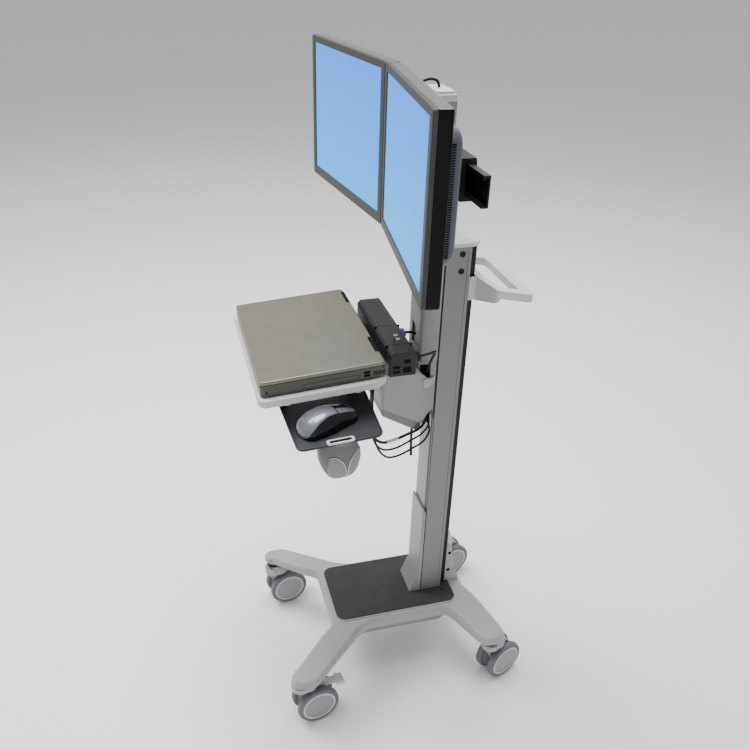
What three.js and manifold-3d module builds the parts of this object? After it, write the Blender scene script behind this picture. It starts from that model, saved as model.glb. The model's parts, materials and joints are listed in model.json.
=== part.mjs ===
// Mobile computer cart for a ward: a wheeled base carries a slotted mast, and a counterbalanced
// riser on the mast carries a laptop tray with a slide-out mouse tray and two flat displays.
// Millimetres, +Z up, the user stands on the -Y side, the object is symmetric about X = 0.
// Y = 0 is the middle of the footprint; MAST_FRONT_Y places the mast's front face.
import * as THREE from 'three';
import { mergeVertices } from 'three/addons/utils/BufferGeometryUtils.js';
import Module from 'manifold-3d';

const wasm = await Module();
wasm.setup();

// ---- driving dimensions -------------------------------------------------------------------
const GAP = 0.3;                    // clearance between pieces that touch
const MAST_FRONT_Y = 85.7;          // cart origin to the mast's front face
const MAST = { halfX: 38.5, depth: 52, wall: 4, slotHalfX: 31, bottom: 175.3, top: 1078 };
const CHANNEL = { halfX: 28, depth: 14, wall: 2.5 };        // black cable channel behind the mast
const WHEEL = { r: 50, inner: 11, outer: 29, trail: 34, axle: 5 };
const CASTERS = [
  { name: 'front_right', x: 194, y: -336, swivel: 10, brake: true },
  { name: 'front_left', x: -194, y: -336, swivel: 9, brake: true },
  { name: 'rear_right', x: 184, y: 136, swivel: 21, brake: false },
  { name: 'rear_left', x: -184, y: 136, swivel: 14, brake: false },
];
const BASE = { top: 178, thick: 28, halfX: 104, front: -237, tipDrop: 28, legStart: 88 };
const MAT = { halfX: 93, front: -226, rear: 80, bottom: 175.3, top: 181, radius: 20 };
const RISER = { front: -43, rear: -2.5, bottom: 838, top: 1345, wall: 3, radius: 9 };
const TRAY = { halfX: 190, front: -126, rear: 119, thick: 18, tilt: 4, pivotY: -269, pivotZ: 888.5 };
const LAPTOP = { x: 10, halfX: 168.5, halfY: 119, foot: 1, baseTop: 20, lidTop: 32 };
const DOCK = { x0: -105, x1: 145, y0: -138, y1: -86, z0: 872.6, z1: 924 };
const MOUSE_TRAY = { x0: 60, x1: 262, front: -83, rear: 92, top: -67, thick: 6 };
const RAIL = { ys: [-72, 62], halfY: 4, bottom: -28, halfX: 172 };
const BAR = { halfX: 300, front: -55.3, back: -43.3, z0: 1242, z1: 1292, wall: 3.5 };
const DISPLAY = { halfW: 191.5, halfH: 142.5, yaw: 7.2, seam: 1.5, seamY: -123, z: 1264, band: 30, depth: 57 };
const PIVOT_DEPTH = 72;             // display tilt axis, measured back from the screen's face
const DRUM = { y: 33, z: 1030, r: 14 };
const CARRIAGE = { halfX: 20, top: 740, bottom: 560, plateBottom: 430 };

// ---- materials ----------------------------------------------------------------------------
const finish = (color, roughness, metalness) => new THREE.MeshStandardMaterial({ color, roughness, metalness });
const MATERIALS = {
  lightGrey: finish(0xc9cbc6, 0.55, 0.0),
  baseGrey: finish(0xa9aba8, 0.5, 0.1),
  mastGrey: finish(0x8f9192, 0.42, 0.6),
  darkGrey: finish(0x6f7072, 0.6, 0.0),
  charcoal: finish(0x3b3b40, 0.7, 0.0),
  black: finish(0x141416, 0.5, 0.0),
  steel: finish(0x9a9a9a, 0.35, 0.9),
  tyre: finish(0x6c6c76, 0.7, 0.0),
  laptop: finish(0x8f8a7c, 0.4, 0.5),
  bezel: finish(0x4c4b48, 0.5, 0.0),
  screen: finish(0x6fb6f2, 0.15, 0.0),
  silver: finish(0x9fa2a8, 0.3, 0.4),
};

// ---- solid helpers ------------------------------------------------------------------------
const rad = THREE.MathUtils.degToRad;
const cart = new THREE.Group();
cart.position.y = MAST_FRONT_Y;

function toSolid(geometry) {
  const bare = geometry.clone();
  bare.deleteAttribute('normal');
  bare.deleteAttribute('uv');
  const merged = mergeVertices(bare, 1e-4);
  return new wasm.Manifold(new wasm.Mesh({
    numProp: 3,
    vertProperties: new Float32Array(merged.attributes.position.array),
    triVerts: new Uint32Array(merged.index.array),
  }));
}

function toGeometry(solid) {
  const mesh = solid.getMesh();
  const geometry = new THREE.BufferGeometry();
  geometry.setAttribute('position', new THREE.BufferAttribute(mesh.vertProperties, 3));
  geometry.setIndex(new THREE.BufferAttribute(mesh.triVerts, 1));
  geometry.computeVertexNormals();
  return geometry;
}

function add(parent, name, solid, material) {
  const mesh = new THREE.Mesh(toGeometry(solid), material);
  mesh.name = name;
  parent.add(mesh);
  return mesh;
}

const AXES = {
  // shape (u, v) and extrusion direction for each axis: a shape is (x, y), (y, z) or (x, z)
  z: new THREE.Matrix4(),
  x: new THREE.Matrix4().makeBasis(
    new THREE.Vector3(0, 1, 0), new THREE.Vector3(0, 0, 1), new THREE.Vector3(1, 0, 0)),
  y: new THREE.Matrix4().makeBasis(
    new THREE.Vector3(1, 0, 0), new THREE.Vector3(0, 0, 1), new THREE.Vector3(0, -1, 0)),
};

// Extrudes an outline along x, y or z between two stations.
function extrude(axis, outline, from, to, curveSegments = 4) {
  const shape = Array.isArray(outline)
    ? new THREE.Shape(outline.map(([u, v]) => new THREE.Vector2(u, v)))
    : outline;
  const options = { depth: to - from, bevelEnabled: false, curveSegments };
  const geometry = new THREE.ExtrudeGeometry(shape, options).applyMatrix4(AXES[axis]);
  if (axis === 'x') geometry.translate(from, 0, 0);
  if (axis === 'y') geometry.translate(0, to, 0);
  if (axis === 'z') geometry.translate(0, 0, from);
  return toSolid(geometry);
}

const box = (x0, x1, y0, y1, z0, z1) => extrude('z', [[x0, y0], [x1, y0], [x1, y1], [x0, y1]], z0, z1);

// Rounded rectangle; radii run low-low, high-low, high-high, low-high.
function roundedRect(u0, u1, v0, v1, radii) {
  const [a, b, c, d] = Array.isArray(radii) ? radii : [radii, radii, radii, radii];
  const shape = new THREE.Shape();
  shape.moveTo(u0 + a, v0);
  shape.lineTo(u1 - b, v0);
  if (b) shape.absarc(u1 - b, v0 + b, b, -Math.PI / 2, 0);
  shape.lineTo(u1, v1 - c);
  if (c) shape.absarc(u1 - c, v1 - c, c, 0, Math.PI / 2);
  shape.lineTo(u0 + d, v1);
  if (d) shape.absarc(u0 + d, v1 - d, d, Math.PI / 2, Math.PI);
  shape.lineTo(u0, v0 + a);
  if (a) shape.absarc(u0 + a, v0 + a, a, Math.PI, 1.5 * Math.PI);
  return shape;
}

function cylinder(axis, r, u, v, from, to, segments = 20) {
  const circle = Array.from({ length: segments }, (_, i) => {
    const a = (2 * Math.PI * i) / segments;
    return [u + r * Math.cos(a), v + r * Math.sin(a)];
  });
  return extrude(axis, circle, from, to);
}

// Solid of revolution about the X axis; the profile is (x, r) and starts and ends on the axis.
function turnedOnX(profile, segments = 28) {
  const points = profile.map(([x, r]) => new THREE.Vector2(r, x));
  const geometry = new THREE.LatheGeometry(points, segments).rotateZ(-Math.PI / 2);
  return toSolid(geometry);
}

function tube(points, r, steps, sides = 8) {
  const path = new THREE.CatmullRomCurve3(points.map((p) => new THREE.Vector3(...p)), false, 'centripetal');
  const section = new THREE.Shape(Array.from({ length: sides }, (_, i) => {
    const a = (2 * Math.PI * i) / sides;
    return new THREE.Vector2(r * Math.cos(a), r * Math.sin(a));
  }));
  return toSolid(new THREE.ExtrudeGeometry(section, { extrudePath: path, steps, bevelEnabled: false }));
}

// Lowers a solid's points in proportion to how far they lie beyond |x| = start.
const sheared = (solid, start, slope) => solid.warp((p) => {
  p[2] -= slope * Math.max(0, Math.abs(p[0]) - start);
});

const mirrorX = (outline) => outline.map(([x, y]) => [-x, y]).reverse();
const union = (...solids) => solids.reduce((all, next) => all.add(next));

// ---- base ---------------------------------------------------------------------------------
const FRONT_LEG = [[88, -237], [112, -268], [184, -344], [194, -357], [216, -357],
  [228, -344], [228, -306], [214, -288], [122, -184], [104, -150], [88, -120]];
const REAR_LEG = [[88, 38], [104, 44], [128, 62], [196, 96], [211, 112], [211, 146],
  [200, 163], [180, 165], [88, 132]];
const PLATFORM = [[88, -237], [104, -150], [104, 44], [88, 132], [40, 114], [-40, 114],
  [-88, 132], [-104, 44], [-104, -150], [-88, -237]];
const BRACKET = [[MAST.depth + 15, 170], [MAST.depth + 15, 300], [76, 304], [84, 282], [102, 214], [116, 170]];
const BRACKET_HALF_X = 22;

function baseFrame() {
  const bottom = BASE.top - BASE.thick;
  const legs = [];
  for (const [outline, reach] of [[FRONT_LEG, 228], [REAR_LEG, 211]]) {
    const slope = BASE.tipDrop / (reach - BASE.legStart);
    for (const side of [outline, mirrorX(outline)]) {
      legs.push(sheared(extrude('z', side, bottom, BASE.top), BASE.legStart, slope));
    }
  }
  let solid = union(extrude('z', PLATFORM, bottom, BASE.top), ...legs,
    extrude('x', BRACKET, -BRACKET_HALF_X, BRACKET_HALF_X));
  for (const z of [216, 272]) {
    solid = solid.subtract(cylinder('x', 4.5, 77, z, BRACKET_HALF_X - 6, BRACKET_HALF_X + 1, 12));
    solid = solid.subtract(cylinder('x', 4.5, 77, z, -BRACKET_HALF_X - 1, 6 - BRACKET_HALF_X, 12));
  }
  const pocket = roundedRect(-MAT.halfX - GAP, MAT.halfX + GAP, MAT.front - GAP, MAT.rear + GAP, MAT.radius);
  const keep = box(-BRACKET_HALF_X - 1, BRACKET_HALF_X + 1, MAST.depth + 15, 130, 170, 310);
  solid = solid.subtract(extrude('z', pocket, MAT.bottom - GAP, MAT.top + 1).subtract(keep));
  for (const { x, y } of CASTERS) solid = solid.subtract(cylinder('z', 6.4, x, y, 100, 145, 16));
  return solid;
}

function footMat() {
  const outline = roundedRect(-MAT.halfX, MAT.halfX, MAT.front, MAT.rear, MAT.radius);
  return extrude('z', outline, MAT.bottom, MAT.top)
    .subtract(box(-39.2, 39.2, -30.6, MAST.depth + 15.3, 170, 190))
    .subtract(box(-BRACKET_HALF_X - 1.5, BRACKET_HALF_X + 1.5, MAST.depth + 14, 90, 170, 190));
}

const ballastPlate = () => extrude('z', roundedRect(-88, 88, -188, 56, 26), 118, 149.7)
  .subtract(extrude('z', roundedRect(-70, 70, -170, 38, 14), 117, 138));

// ---- casters ------------------------------------------------------------------------------
const WHEEL_PROFILE = [[-WHEEL.outer, 0], [-WHEEL.outer, 8], [-27.5, 34], [-WHEEL.outer, 37], [-28, 46],
  [-24, WHEEL.r], [-15, WHEEL.r], [-WHEEL.inner, 46], [-WHEEL.inner, WHEEL.axle],
  [WHEEL.inner, WHEEL.axle], [WHEEL.inner, 46], [15, WHEEL.r], [24, WHEEL.r], [28, 46],
  [WHEEL.outer, 37], [27.5, 34], [WHEEL.outer, 8], [WHEEL.outer, 0]];
const FORK_PROFILE = [[-18, 119], [20, 119], [46, 106], [60, 88], [62, 62], [52, 40],
  [34, 30], [18, 38], [2, 66], [-14, 96]];
const LEVER_HINGE = { y: 59, z: 91, r: 4 };

function casterFork(brake) {
  const half = WHEEL.inner - 1.5;
  let solid = union(extrude('x', FORK_PROFILE, -half, half), cylinder('z', 23, 0, 0, 104, 119),
    cylinder('z', 6, 0, 0, 118, 144, 16));
  solid = solid.subtract(cylinder('x', WHEEL.axle + 0.3, WHEEL.trail, WHEEL.r, -20, 20, 16));
  if (brake) {
    const { y, z, r } = LEVER_HINGE;
    solid = solid.subtract(cylinder('x', r + 0.4, y, z, -20, 20, 16));
    solid = solid.subtract(extrude('x', [[y - 4.4, z], [y + 40, z - 28], [y + 40, z + 30], [y - 4.4, z + 30]], -20, 20));
  }
  return solid;
}

function brakeLever() {
  const { y, z, r } = LEVER_HINGE;
  const half = WHEEL.inner - 2;
  const arm = extrude('x', [[y, z - 3], [y + 40, z - 8], [y + 42, z - 2], [y, z + 4]], -half, half);
  const pedal = extrude('x', [[y + 27, z - 9], [y + 44, z - 11], [y + 46, z - 5], [y + 27, z + 1]], -14, 14);
  return union(cylinder('x', r, y, z, -half, half, 14), arm, pedal);
}

function buildCaster({ name, x, y, swivel, brake }) {
  const caster = new THREE.Group();
  caster.position.set(x, y, 0);
  caster.rotation.z = rad(swivel);
  add(caster, `caster_fork_${name}`, casterFork(brake), MATERIALS.baseGrey);
  const wheels = turnedOnX(WHEEL_PROFILE).translate([0, WHEEL.trail, WHEEL.r]);
  add(caster, `caster_wheels_${name}`, wheels, MATERIALS.tyre);
  if (brake) add(caster, `brake_lever_${name}`, brakeLever(), MATERIALS.lightGrey);
  cart.add(caster);
}

// ---- mast ---------------------------------------------------------------------------------
const RIM = MAST.halfX - MAST.wall;
const MAST_PROFILE = [[-MAST.halfX, 0], [-MAST.slotHalfX, 0], [-MAST.slotHalfX, MAST.wall], [-RIM, MAST.wall],
  [-RIM, MAST.depth - MAST.wall], [RIM, MAST.depth - MAST.wall], [RIM, MAST.wall],
  [MAST.slotHalfX, MAST.wall], [MAST.slotHalfX, 0], [MAST.halfX, 0], [MAST.halfX, MAST.depth],
  [-MAST.halfX, MAST.depth]];
const BOLT_HEIGHTS = { lower: DRUM.z, upper: DRUM.z + 35 };

function mastExtrusion() {
  let solid = extrude('z', MAST_PROFILE, MAST.bottom, MAST.top);
  for (const z of Object.values(BOLT_HEIGHTS)) solid = solid.subtract(cylinder('x', 4.4, DRUM.y, z, -50, 50, 16));
  return solid;
}

function rearChannel() {
  const y0 = MAST.depth + GAP;
  const { halfX, depth, wall } = CHANNEL;
  const outline = [[-halfX, y0], [-halfX + wall, y0], [-halfX + wall, y0 + depth - wall],
    [halfX - wall, y0 + depth - wall], [halfX - wall, y0], [halfX, y0], [halfX, y0 + depth], [-halfX, y0 + depth]];
  return extrude('z', outline, 182, MAST.top);
}

function mastCap() {
  const plan = new THREE.Shape();
  plan.moveTo(-MAST.halfX, 0);
  plan.lineTo(MAST.halfX, 0);
  plan.lineTo(MAST.halfX, 56);
  plan.quadraticCurveTo(MAST.halfX - 6, 76, 0, 76);
  plan.quadraticCurveTo(6 - MAST.halfX, 76, -MAST.halfX, 56);
  const crown = extrude('z', plan, MAST.top + GAP, 1086, 6);
  const dome = extrude('y', [[-34, 1085], [34, 1085], [28, 1090], [14, 1093.5], [0, 1094.5], [-14, 1093.5], [-28, 1090]], 4, 58);
  return union(crown, dome);
}

function handleBolt() {
  const reach = MAST.halfX + GAP;
  return turnedOnX([[-reach - 1.6, 0], [-reach - 1.6, 2], [-reach - 1.6, 6], [-reach, 6], [-reach, 4],
    [reach, 4], [reach, 6], [reach + 1.6, 6], [reach + 1.6, 2], [reach + 1.6, 0]], 16);
}

function frontShroud() {
  const side = [[-9, 437], [-9, 236], [-29, 181.5], [-29, MAST.bottom], [-3.3, MAST.bottom], [-3.3, 437]];
  const panel = extrude('x', side, -MAST.halfX, MAST.halfX);
  const returns = [-1, 1].map((s) => {
    const [a, b] = s > 0 ? [MAST.slotHalfX + 1.5, MAST.halfX] : [-MAST.halfX, -MAST.slotHalfX - 1.5];
    return box(a, b, -3.4, -GAP, MAST.bottom, 430);
  });
  return union(panel, ...returns);
}

const HANDLE = { top: 1016, thick: 18, slope: 0.2, rear: 158, halfX: 107 };

function pushHandle() {
  const outer = [[-38.5, 67], [38.5, 67], [98, 84], [106, 94], [HANDLE.halfX, 148], [98, HANDLE.rear],
    [-98, HANDLE.rear], [-HANDLE.halfX, 148], [-106, 94], [-98, 84]];
  const inner = [[-30, 85], [30, 85], [80, 98], [86, 106], [86, 132], [80, 138],
    [-80, 138], [-86, 132], [-86, 106], [-80, 98]];
  const ring = extrude('z', outer, HANDLE.top - HANDLE.thick, HANDLE.top)
    .subtract(extrude('z', inner, 900, 1100))
    .warp((p) => { p[2] -= HANDLE.slope * (p[1] - 67); });
  const web = [[66.9, 965], [66.9, 1010], [88, 1008], [96, 990], [86, 984]];
  const gussets = [[27, 38.5], [-38.5, -27]].map(([a, b]) => extrude('x', web, a, b));
  const plate = box(-38.5, 38.5, 66.9, 72, 965, 1014);
  const cheeks = [[29, 38.5], [-38.5, -29]].map(([a, b]) => box(a, b, MAST.depth + GAP, 67, 965, 1014));
  return union(ring, plate, ...gussets, ...cheeks);
}

// ---- lift mechanism inside the mast -------------------------------------------------------
const ROLLERS = { y: 33, zs: { lower: 590, upper: 712 }, r: 14, axle: 4 };

// Block that runs inside the mast, the plate that fills the slot, and the spine up the riser.
function liftCarriage() {
  const { halfX, top, bottom, plateBottom } = CARRIAGE;
  let solid = union(
    box(-halfX, halfX, 3, 40, bottom, top),
    box(-29.3, 29.3, -2.8, 3.2, plateBottom, 800),
    box(-halfX, halfX, -38, -2, 704, 1338),
  );
  solid = solid.subtract(box(-halfX + 3, halfX - 3, -35, -5, 850, 1339));
  for (const z of Object.values(ROLLERS.zs)) {
    solid = solid.subtract(cylinder('x', ROLLERS.axle + 0.3, ROLLERS.y, z, -40, 40, 16));
  }
  return solid;
}

function guideRoller(z) {
  const { r, axle, y } = ROLLERS;
  const profile = [[-33, 0], [-33, r - 1], [-32, r], [-23, r], [-22, r - 1], [-22, axle],
    [22, axle], [22, r - 1], [23, r], [32, r], [33, r - 1], [33, 0]];
  return turnedOnX(profile, 20).translate([0, y, z]);
}

function springDrum() {
  const profile = [[-16, 0], [-16, DRUM.r - 1], [-15, DRUM.r], [15, DRUM.r], [16, DRUM.r - 1], [16, 0]];
  return turnedOnX(profile, 24).translate([0, DRUM.y, DRUM.z])
    .subtract(cylinder('x', 4.4, DRUM.y, DRUM.z, -30, 30, 16));
}

const springStrip = () => box(-12, 12, DRUM.y - DRUM.r - 1.4, DRUM.y - DRUM.r - 0.4, CARRIAGE.top + GAP, DRUM.z);

// ---- riser and tray arm -------------------------------------------------------------------
function riserCover() {
  const { front, rear, bottom, top, wall, radius } = RISER;
  const outer = roundedRect(-MAST.halfX, MAST.halfX, front, rear, [radius, radius, 0, 0]);
  const inner = roundedRect(wall - MAST.halfX, MAST.halfX - wall, front + wall, rear + 5, [6, 6, 0, 0]);
  const opening = [[-15, 912], [14, 904], [27, 884], [27, 862], [-15, 862]];
  return extrude('z', outer, bottom, top)
    .subtract(extrude('z', inner, bottom - 1, top + 1))
    .subtract(extrude('y', opening, front - 2, front + 6));
}

function riserCap() {
  const { front, rear, top } = RISER;
  const low = extrude('z', roundedRect(-38.5, 38.5, front, rear, [9, 9, 2, 2]), top + GAP, 1357);
  const high = extrude('z', roundedRect(-34.5, 34.5, front + 4, rear - 3, 7), 1356, 1362);
  return union(low, high);
}

const ARM = { mast: 38.5, wide: 136, front: -150, shelf: 872.3, wall: 4 };
const ARM_SIDE = [[-3.2, 717], [-3.2, 783], [-54, 832], [-118, ARM.shelf - 3], [ARM.front, ARM.shelf - 3],
  [ARM.front, 800], [-34, 697]];

// Plan of the arm, narrow at the mast and as wide as the dock under the tray.
const armPlan = (inset) => {
  const near = ARM.mast - inset;
  const far = ARM.wide - inset;
  return [[-near, 5], [near, 5], [near, -8], [far, -144], [far, ARM.front + inset],
    [-far, ARM.front + inset], [-far, -144], [-near, -8]];
};

// Cast arm from the riser to the tray, hollow for the cables, with a flange bolted under the tray.
function trayArm(tilted) {
  const spine = CARRIAGE.halfX + 1;
  const collar = box(-ARM.mast, ARM.mast, RISER.front, -3.2, 760, RISER.bottom - GAP)
    .subtract(box(-spine, spine, -39, 5, 740, 900));
  const funnel = extrude('z', armPlan(0), 650, 900).intersect(extrude('x', ARM_SIDE, -160, 160));
  const roofDrop = ARM_SIDE.map(([y, z]) => [y, z > 760 ? z - ARM.wall : z - 40]);
  const hollow = extrude('z', armPlan(ARM.wall), 640, 900).intersect(extrude('x', roofDrop, -160, 160));
  const shelf = box(-105, 105, ARM.front, -86, ARM.shelf - 4, ARM.shelf);
  const pad = extrude('x', [[-146, 867], [-151, 877], [-166, 876], [-166, 866]], -80, 80);
  const flange = tilted(box(-80, 80, 72, 118, -TRAY.thick - GAP - 4, -TRAY.thick - GAP));
  const solid = union(funnel.subtract(hollow), shelf, pad, flange)
    .subtract(box(-spine, spine, -39, 5, 690, 900))
    .subtract(cylinder('x', 26, -6, 690, -60, 60, 28));
  const slots = [[30, 50], [-50, -30]].map(([a, b]) => box(a, b, -40, -16, 798, 830));
  return union(solid, collar).subtract(slots[0]).subtract(slots[1]);
}

function armLowerCover() {
  const side = [[-36, 691], [-42, 680], [ARM.front + 2, 781], [ARM.front + 2, 797.9], [-36, 698.4]];
  return extrude('z', armPlan(3), 600, 900).intersect(extrude('x', side, -160, 160));
}

// ---- tray, laptop and dock (tilted group) -------------------------------------------------
function worksurfaceTray() {
  const { halfX, front, rear, thick } = TRAY;
  const slab = extrude('z', roundedRect(-halfX, halfX, front, rear, [30, 30, 46, 46]), -thick, 0, 6);
  const rails = RAIL.ys.map((y) => box(-RAIL.halfX, RAIL.halfX, y - RAIL.halfY, y + RAIL.halfY, RAIL.bottom, -thick + 0.5));
  return union(slab, ...rails);
}

const DRIVE = { y0: -40, y1: 62, z0: 5, z1: 14, depth: 130 };

function laptopBase() {
  const { x, halfX, halfY, foot, baseTop } = LAPTOP;
  const body = extrude('z', roundedRect(x - halfX, x + halfX, -halfY, halfY, 8), foot + 1, baseTop);
  const feet = [-1, 1].flatMap((sx) => [-1, 1].map(
    (sy) => cylinder('z', 6, x + sx * (halfX - 22), sy * (halfY - 18), GAP, foot + 2, 12)));
  const bay = box(x + halfX - DRIVE.depth, x + halfX + 5, DRIVE.y0, DRIVE.y1, DRIVE.z0, DRIVE.z1);
  return union(body, ...feet).subtract(bay);
}

function laptopLid() {
  const { x, halfX, halfY, baseTop, lidTop } = LAPTOP;
  return extrude('z', roundedRect(x - halfX, x + halfX, -halfY, halfY - 6, 8), baseTop + GAP, lidTop);
}

function opticalDrive() {
  const right = LAPTOP.x + LAPTOP.halfX;
  return box(right - DRIVE.depth + 1, right, DRIVE.y0 + 0.4, DRIVE.y1 - 0.4, DRIVE.z0 + 0.4, DRIVE.z1 - 0.4);
}

const DOCK_BUTTONS = { dock_button_power: 76, dock_button_eject: 92 };
const DOCK_BUTTON_Y = -108;

function dockBody() {
  const { x0, x1, y0, y1, z0, z1 } = DOCK;
  const side = [[y0, z0], [y1, z0], [y1, z1 - 6], [y1 - 5, z1], [y0 + 6, z1], [y0, z1 - 7]];
  let solid = extrude('x', side, x0, x1);
  for (const x of Object.values(DOCK_BUTTONS)) solid = solid.subtract(cylinder('z', 5.4, x, DOCK_BUTTON_Y, z1 - 10, z1 + 2, 16));
  return solid;
}

// ---- mouse tray, holder cup and mouse -----------------------------------------------------
function mouseTray() {
  const { x0, x1, front, rear, top, thick } = MOUSE_TRAY;
  const taper = 8;
  const outline = [[x0, front], [x1 - 14, front + taper], [x1, front + taper + 14], [x1, rear - taper - 12],
    [x1 - 12, rear - taper], [x0, rear]];
  const inset = [[x0 + 5, front + 6], [x1 - 16, front + taper + 6], [x1 - 6, front + taper + 16],
    [x1 - 6, rear - taper - 14], [x1 - 15, rear - taper - 6], [x0 + 5, rear - 6]];
  let solid = extrude('z', outline, top - thick, top).subtract(extrude('z', inset, top - 3, top + 1));
  for (const y of RAIL.ys) {
    const hanger = box(x0 + 8, x0 + 48, y - RAIL.halfY - 4, y + RAIL.halfY + 4, top - 4, -TRAY.thick - 1)
      .subtract(box(x0, x0 + 60, y - RAIL.halfY - 0.6, y + RAIL.halfY + 0.6, RAIL.bottom - 0.6, 0));
    solid = solid.add(hanger);
  }
  return solid;
}

const CUP = { x0: 212, x1: 256, y0: -36, y1: 42, bottom: -156 };

// Petal-fronted pocket that hangs from a clip over the mouse tray's outer rim.
function holderCup() {
  const { x0, x1, y0, y1, bottom } = CUP;
  const top = MOUSE_TRAY.top - MOUSE_TRAY.thick - 0.5;
  const front = [[y0 + 16, bottom], [y1 - 16, bottom], [y1, bottom + 26], [y1, top - 30], [y1 - 14, top],
    [y0 + 14, top], [y0, top - 30], [y0, bottom + 26]];
  const cavity = [[y0 + 19, bottom + 4], [y1 - 19, bottom + 4], [y1 - 4, bottom + 27], [y1 - 4, top - 30],
    [y1 - 16, top + 1], [y0 + 16, top + 1], [y0 + 4, top - 30], [y0 + 4, bottom + 27]];
  const hook = [[x1 - 22, top - 1], [x1 + 9, top - 1], [x1 + 9, MOUSE_TRAY.top + 4], [x1 - 6, MOUSE_TRAY.top + 4],
    [x1 - 6, MOUSE_TRAY.top + 1], [x1 + 6.5, MOUSE_TRAY.top + 1], [x1 + 6.5, top + 0.2], [x1 - 22, top + 0.2]];
  return extrude('x', front, x0, x1)
    .subtract(extrude('x', cavity, x0 + 3, x1 - 3))
    .subtract(box(x0 - 5, x1 - 12, y0 + 6, y1 - 6, top - 34, top + 4))
    .add(extrude('y', hook, -4, 24));
}

const MOUSE = { x: 197, y: -6, yaw: 19, length: 120, halfWidth: 32 };
const MOUSE_FLOOR = MOUSE_TRAY.top - 3 + GAP;

// Humped body along local Y; the nose, with the buttons, points to +Y.
function mouseBody() {
  const side = [[-60, 3], [-58, 14], [-48, 27], [-30, 36], [-8, 38], [14, 34], [14, 26.6], [58, 17.6], [60, 3], [54, 0], [-54, 0]];
  const plan = [[-24, -60], [24, -60], [32, -40], [30, 0], [31, 40], [24, 60], [-24, 60], [-31, 40], [-30, 0], [-32, -40]];
  return extrude('x', side, -MOUSE.halfWidth, MOUSE.halfWidth)
    .intersect(extrude('z', plan, -1, 50))
    .subtract(box(-4.2, 4.2, 22, 46, 11, 50));
}

function mouseButton(side) {
  const profile = [[14.6, 34], [14.6, 27.4], [58, 18.4], [58, 20], [40, 27]];
  const [a, b] = side > 0 ? [4.6, 27] : [-27, -4.6];
  return extrude('x', profile, a, b);
}

// ---- displays -----------------------------------------------------------------------------
function crossbar() {
  const { halfX, front, back, z0, z1, wall } = BAR;
  const side = [[back, z0], [back, z1], [front, z1], [front, z1 - 7], [front + wall, z1 - 7], [front + wall, z1 - wall],
    [back - wall, z1 - wall], [back - wall, z0 + wall], [front + wall, z0 + wall], [front + wall, z0 + 7],
    [front, z0 + 7], [front, z0]];
  return extrude('x', side, -halfX, halfX);
}

// Everything on one display is built for the right-hand one in a frame whose Y runs from the
// screen's face backwards; buildDisplay places it with its yaw and mirrors it for the left.
function displayBack() {
  const { halfW, halfH, band, depth } = DISPLAY;
  const rim = extrude('y', roundedRect(-halfW, halfW, -halfH, halfH, 5), 8.3, band);
  const bulge = [[-150, -96], [150, -96], [158, -80], [158, 80], [150, 104], [-150, 104], [-158, 80], [-158, -80]];
  const mid = extrude('y', bulge, band - 1, 44);
  const rear = extrude('y', bulge.map(([u, v]) => [u * 0.93, v * 0.92]), 43, depth);
  const hollow = extrude('y', roundedRect(-halfW + 3, halfW - 3, -halfH + 3, halfH - 3, 3), 8, band - 3);
  const core = extrude('y', roundedRect(-140, 140, -86, 90, 6), band - 4, depth - 4);
  return union(rim, mid, rear).subtract(hollow).subtract(core);
}

const WINDOW = { halfW: 174, top: 129, bottom: -123 };

function displayBezel() {
  const { halfW, halfH } = DISPLAY;
  return extrude('y', roundedRect(-halfW, halfW, -halfH, halfH, 4), 0, 8)
    .subtract(extrude('y', roundedRect(-WINDOW.halfW, WINDOW.halfW, WINDOW.bottom, WINDOW.top, 1), -1, 9));
}

function displayPanel() {
  const face = box(-WINDOW.halfW + GAP, WINDOW.halfW - GAP, 2, 9, WINDOW.bottom + GAP, WINDOW.top - GAP);
  return face.add(box(-178, 178, 8.3, 20, -128, 134));
}

function displayHead() {
  const plate = box(-58, 58, DISPLAY.depth + GAP, DISPLAY.depth + 3.3, -58, 58);
  const web = box(-20, 20, DISPLAY.depth + 3, PIVOT_DEPTH, -7, 7);
  return union(plate, web, cylinder('x', 8, PIVOT_DEPTH, 0, -21, 21), cylinder('x', 4, PIVOT_DEPTH, 0, -34, 34, 14));
}

// Clamp that slides along the crossbar, with two lugs for the tilt axle.
function displaySlider(centre, yaw) {
  const { front, back, z0, z1 } = BAR;
  const clamp = [[front - 9, z0 - 8], [front - 9, z1 + 8], [back + 4, z1 + 8], [back + 4, z1 - 6], [back + 0.5, z1 - 6],
    [back + 0.5, z1 + 0.5], [front - 0.5, z1 + 0.5], [front - 0.5, z0 - 0.5], [back + 0.5, z0 - 0.5],
    [back + 0.5, z0 + 6], [back + 4, z0 + 6], [back + 4, z0 - 8]];
  const lugs = [[22, 32], [-32, -22]].map(([a, b]) => union(
    box(a, b, PIVOT_DEPTH, 92, -9, 9), cylinder('x', 9, PIVOT_DEPTH, 0, a, b)));
  const knuckle = union(...lugs).subtract(cylinder('x', 4.3, PIVOT_DEPTH, 0, -40, 40, 14))
    .rotate([0, 0, yaw]).translate([centre.x, centre.y, DISPLAY.z])
    .subtract(box(-400, 400, front - 1, 60, 1100, 1400));
  const x = centre.x + PIVOT_DEPTH * Math.sin(rad(Math.abs(yaw))) * Math.sign(centre.x);
  return extrude('x', clamp, x - 62, x + 62).add(knuckle);
}

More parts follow.
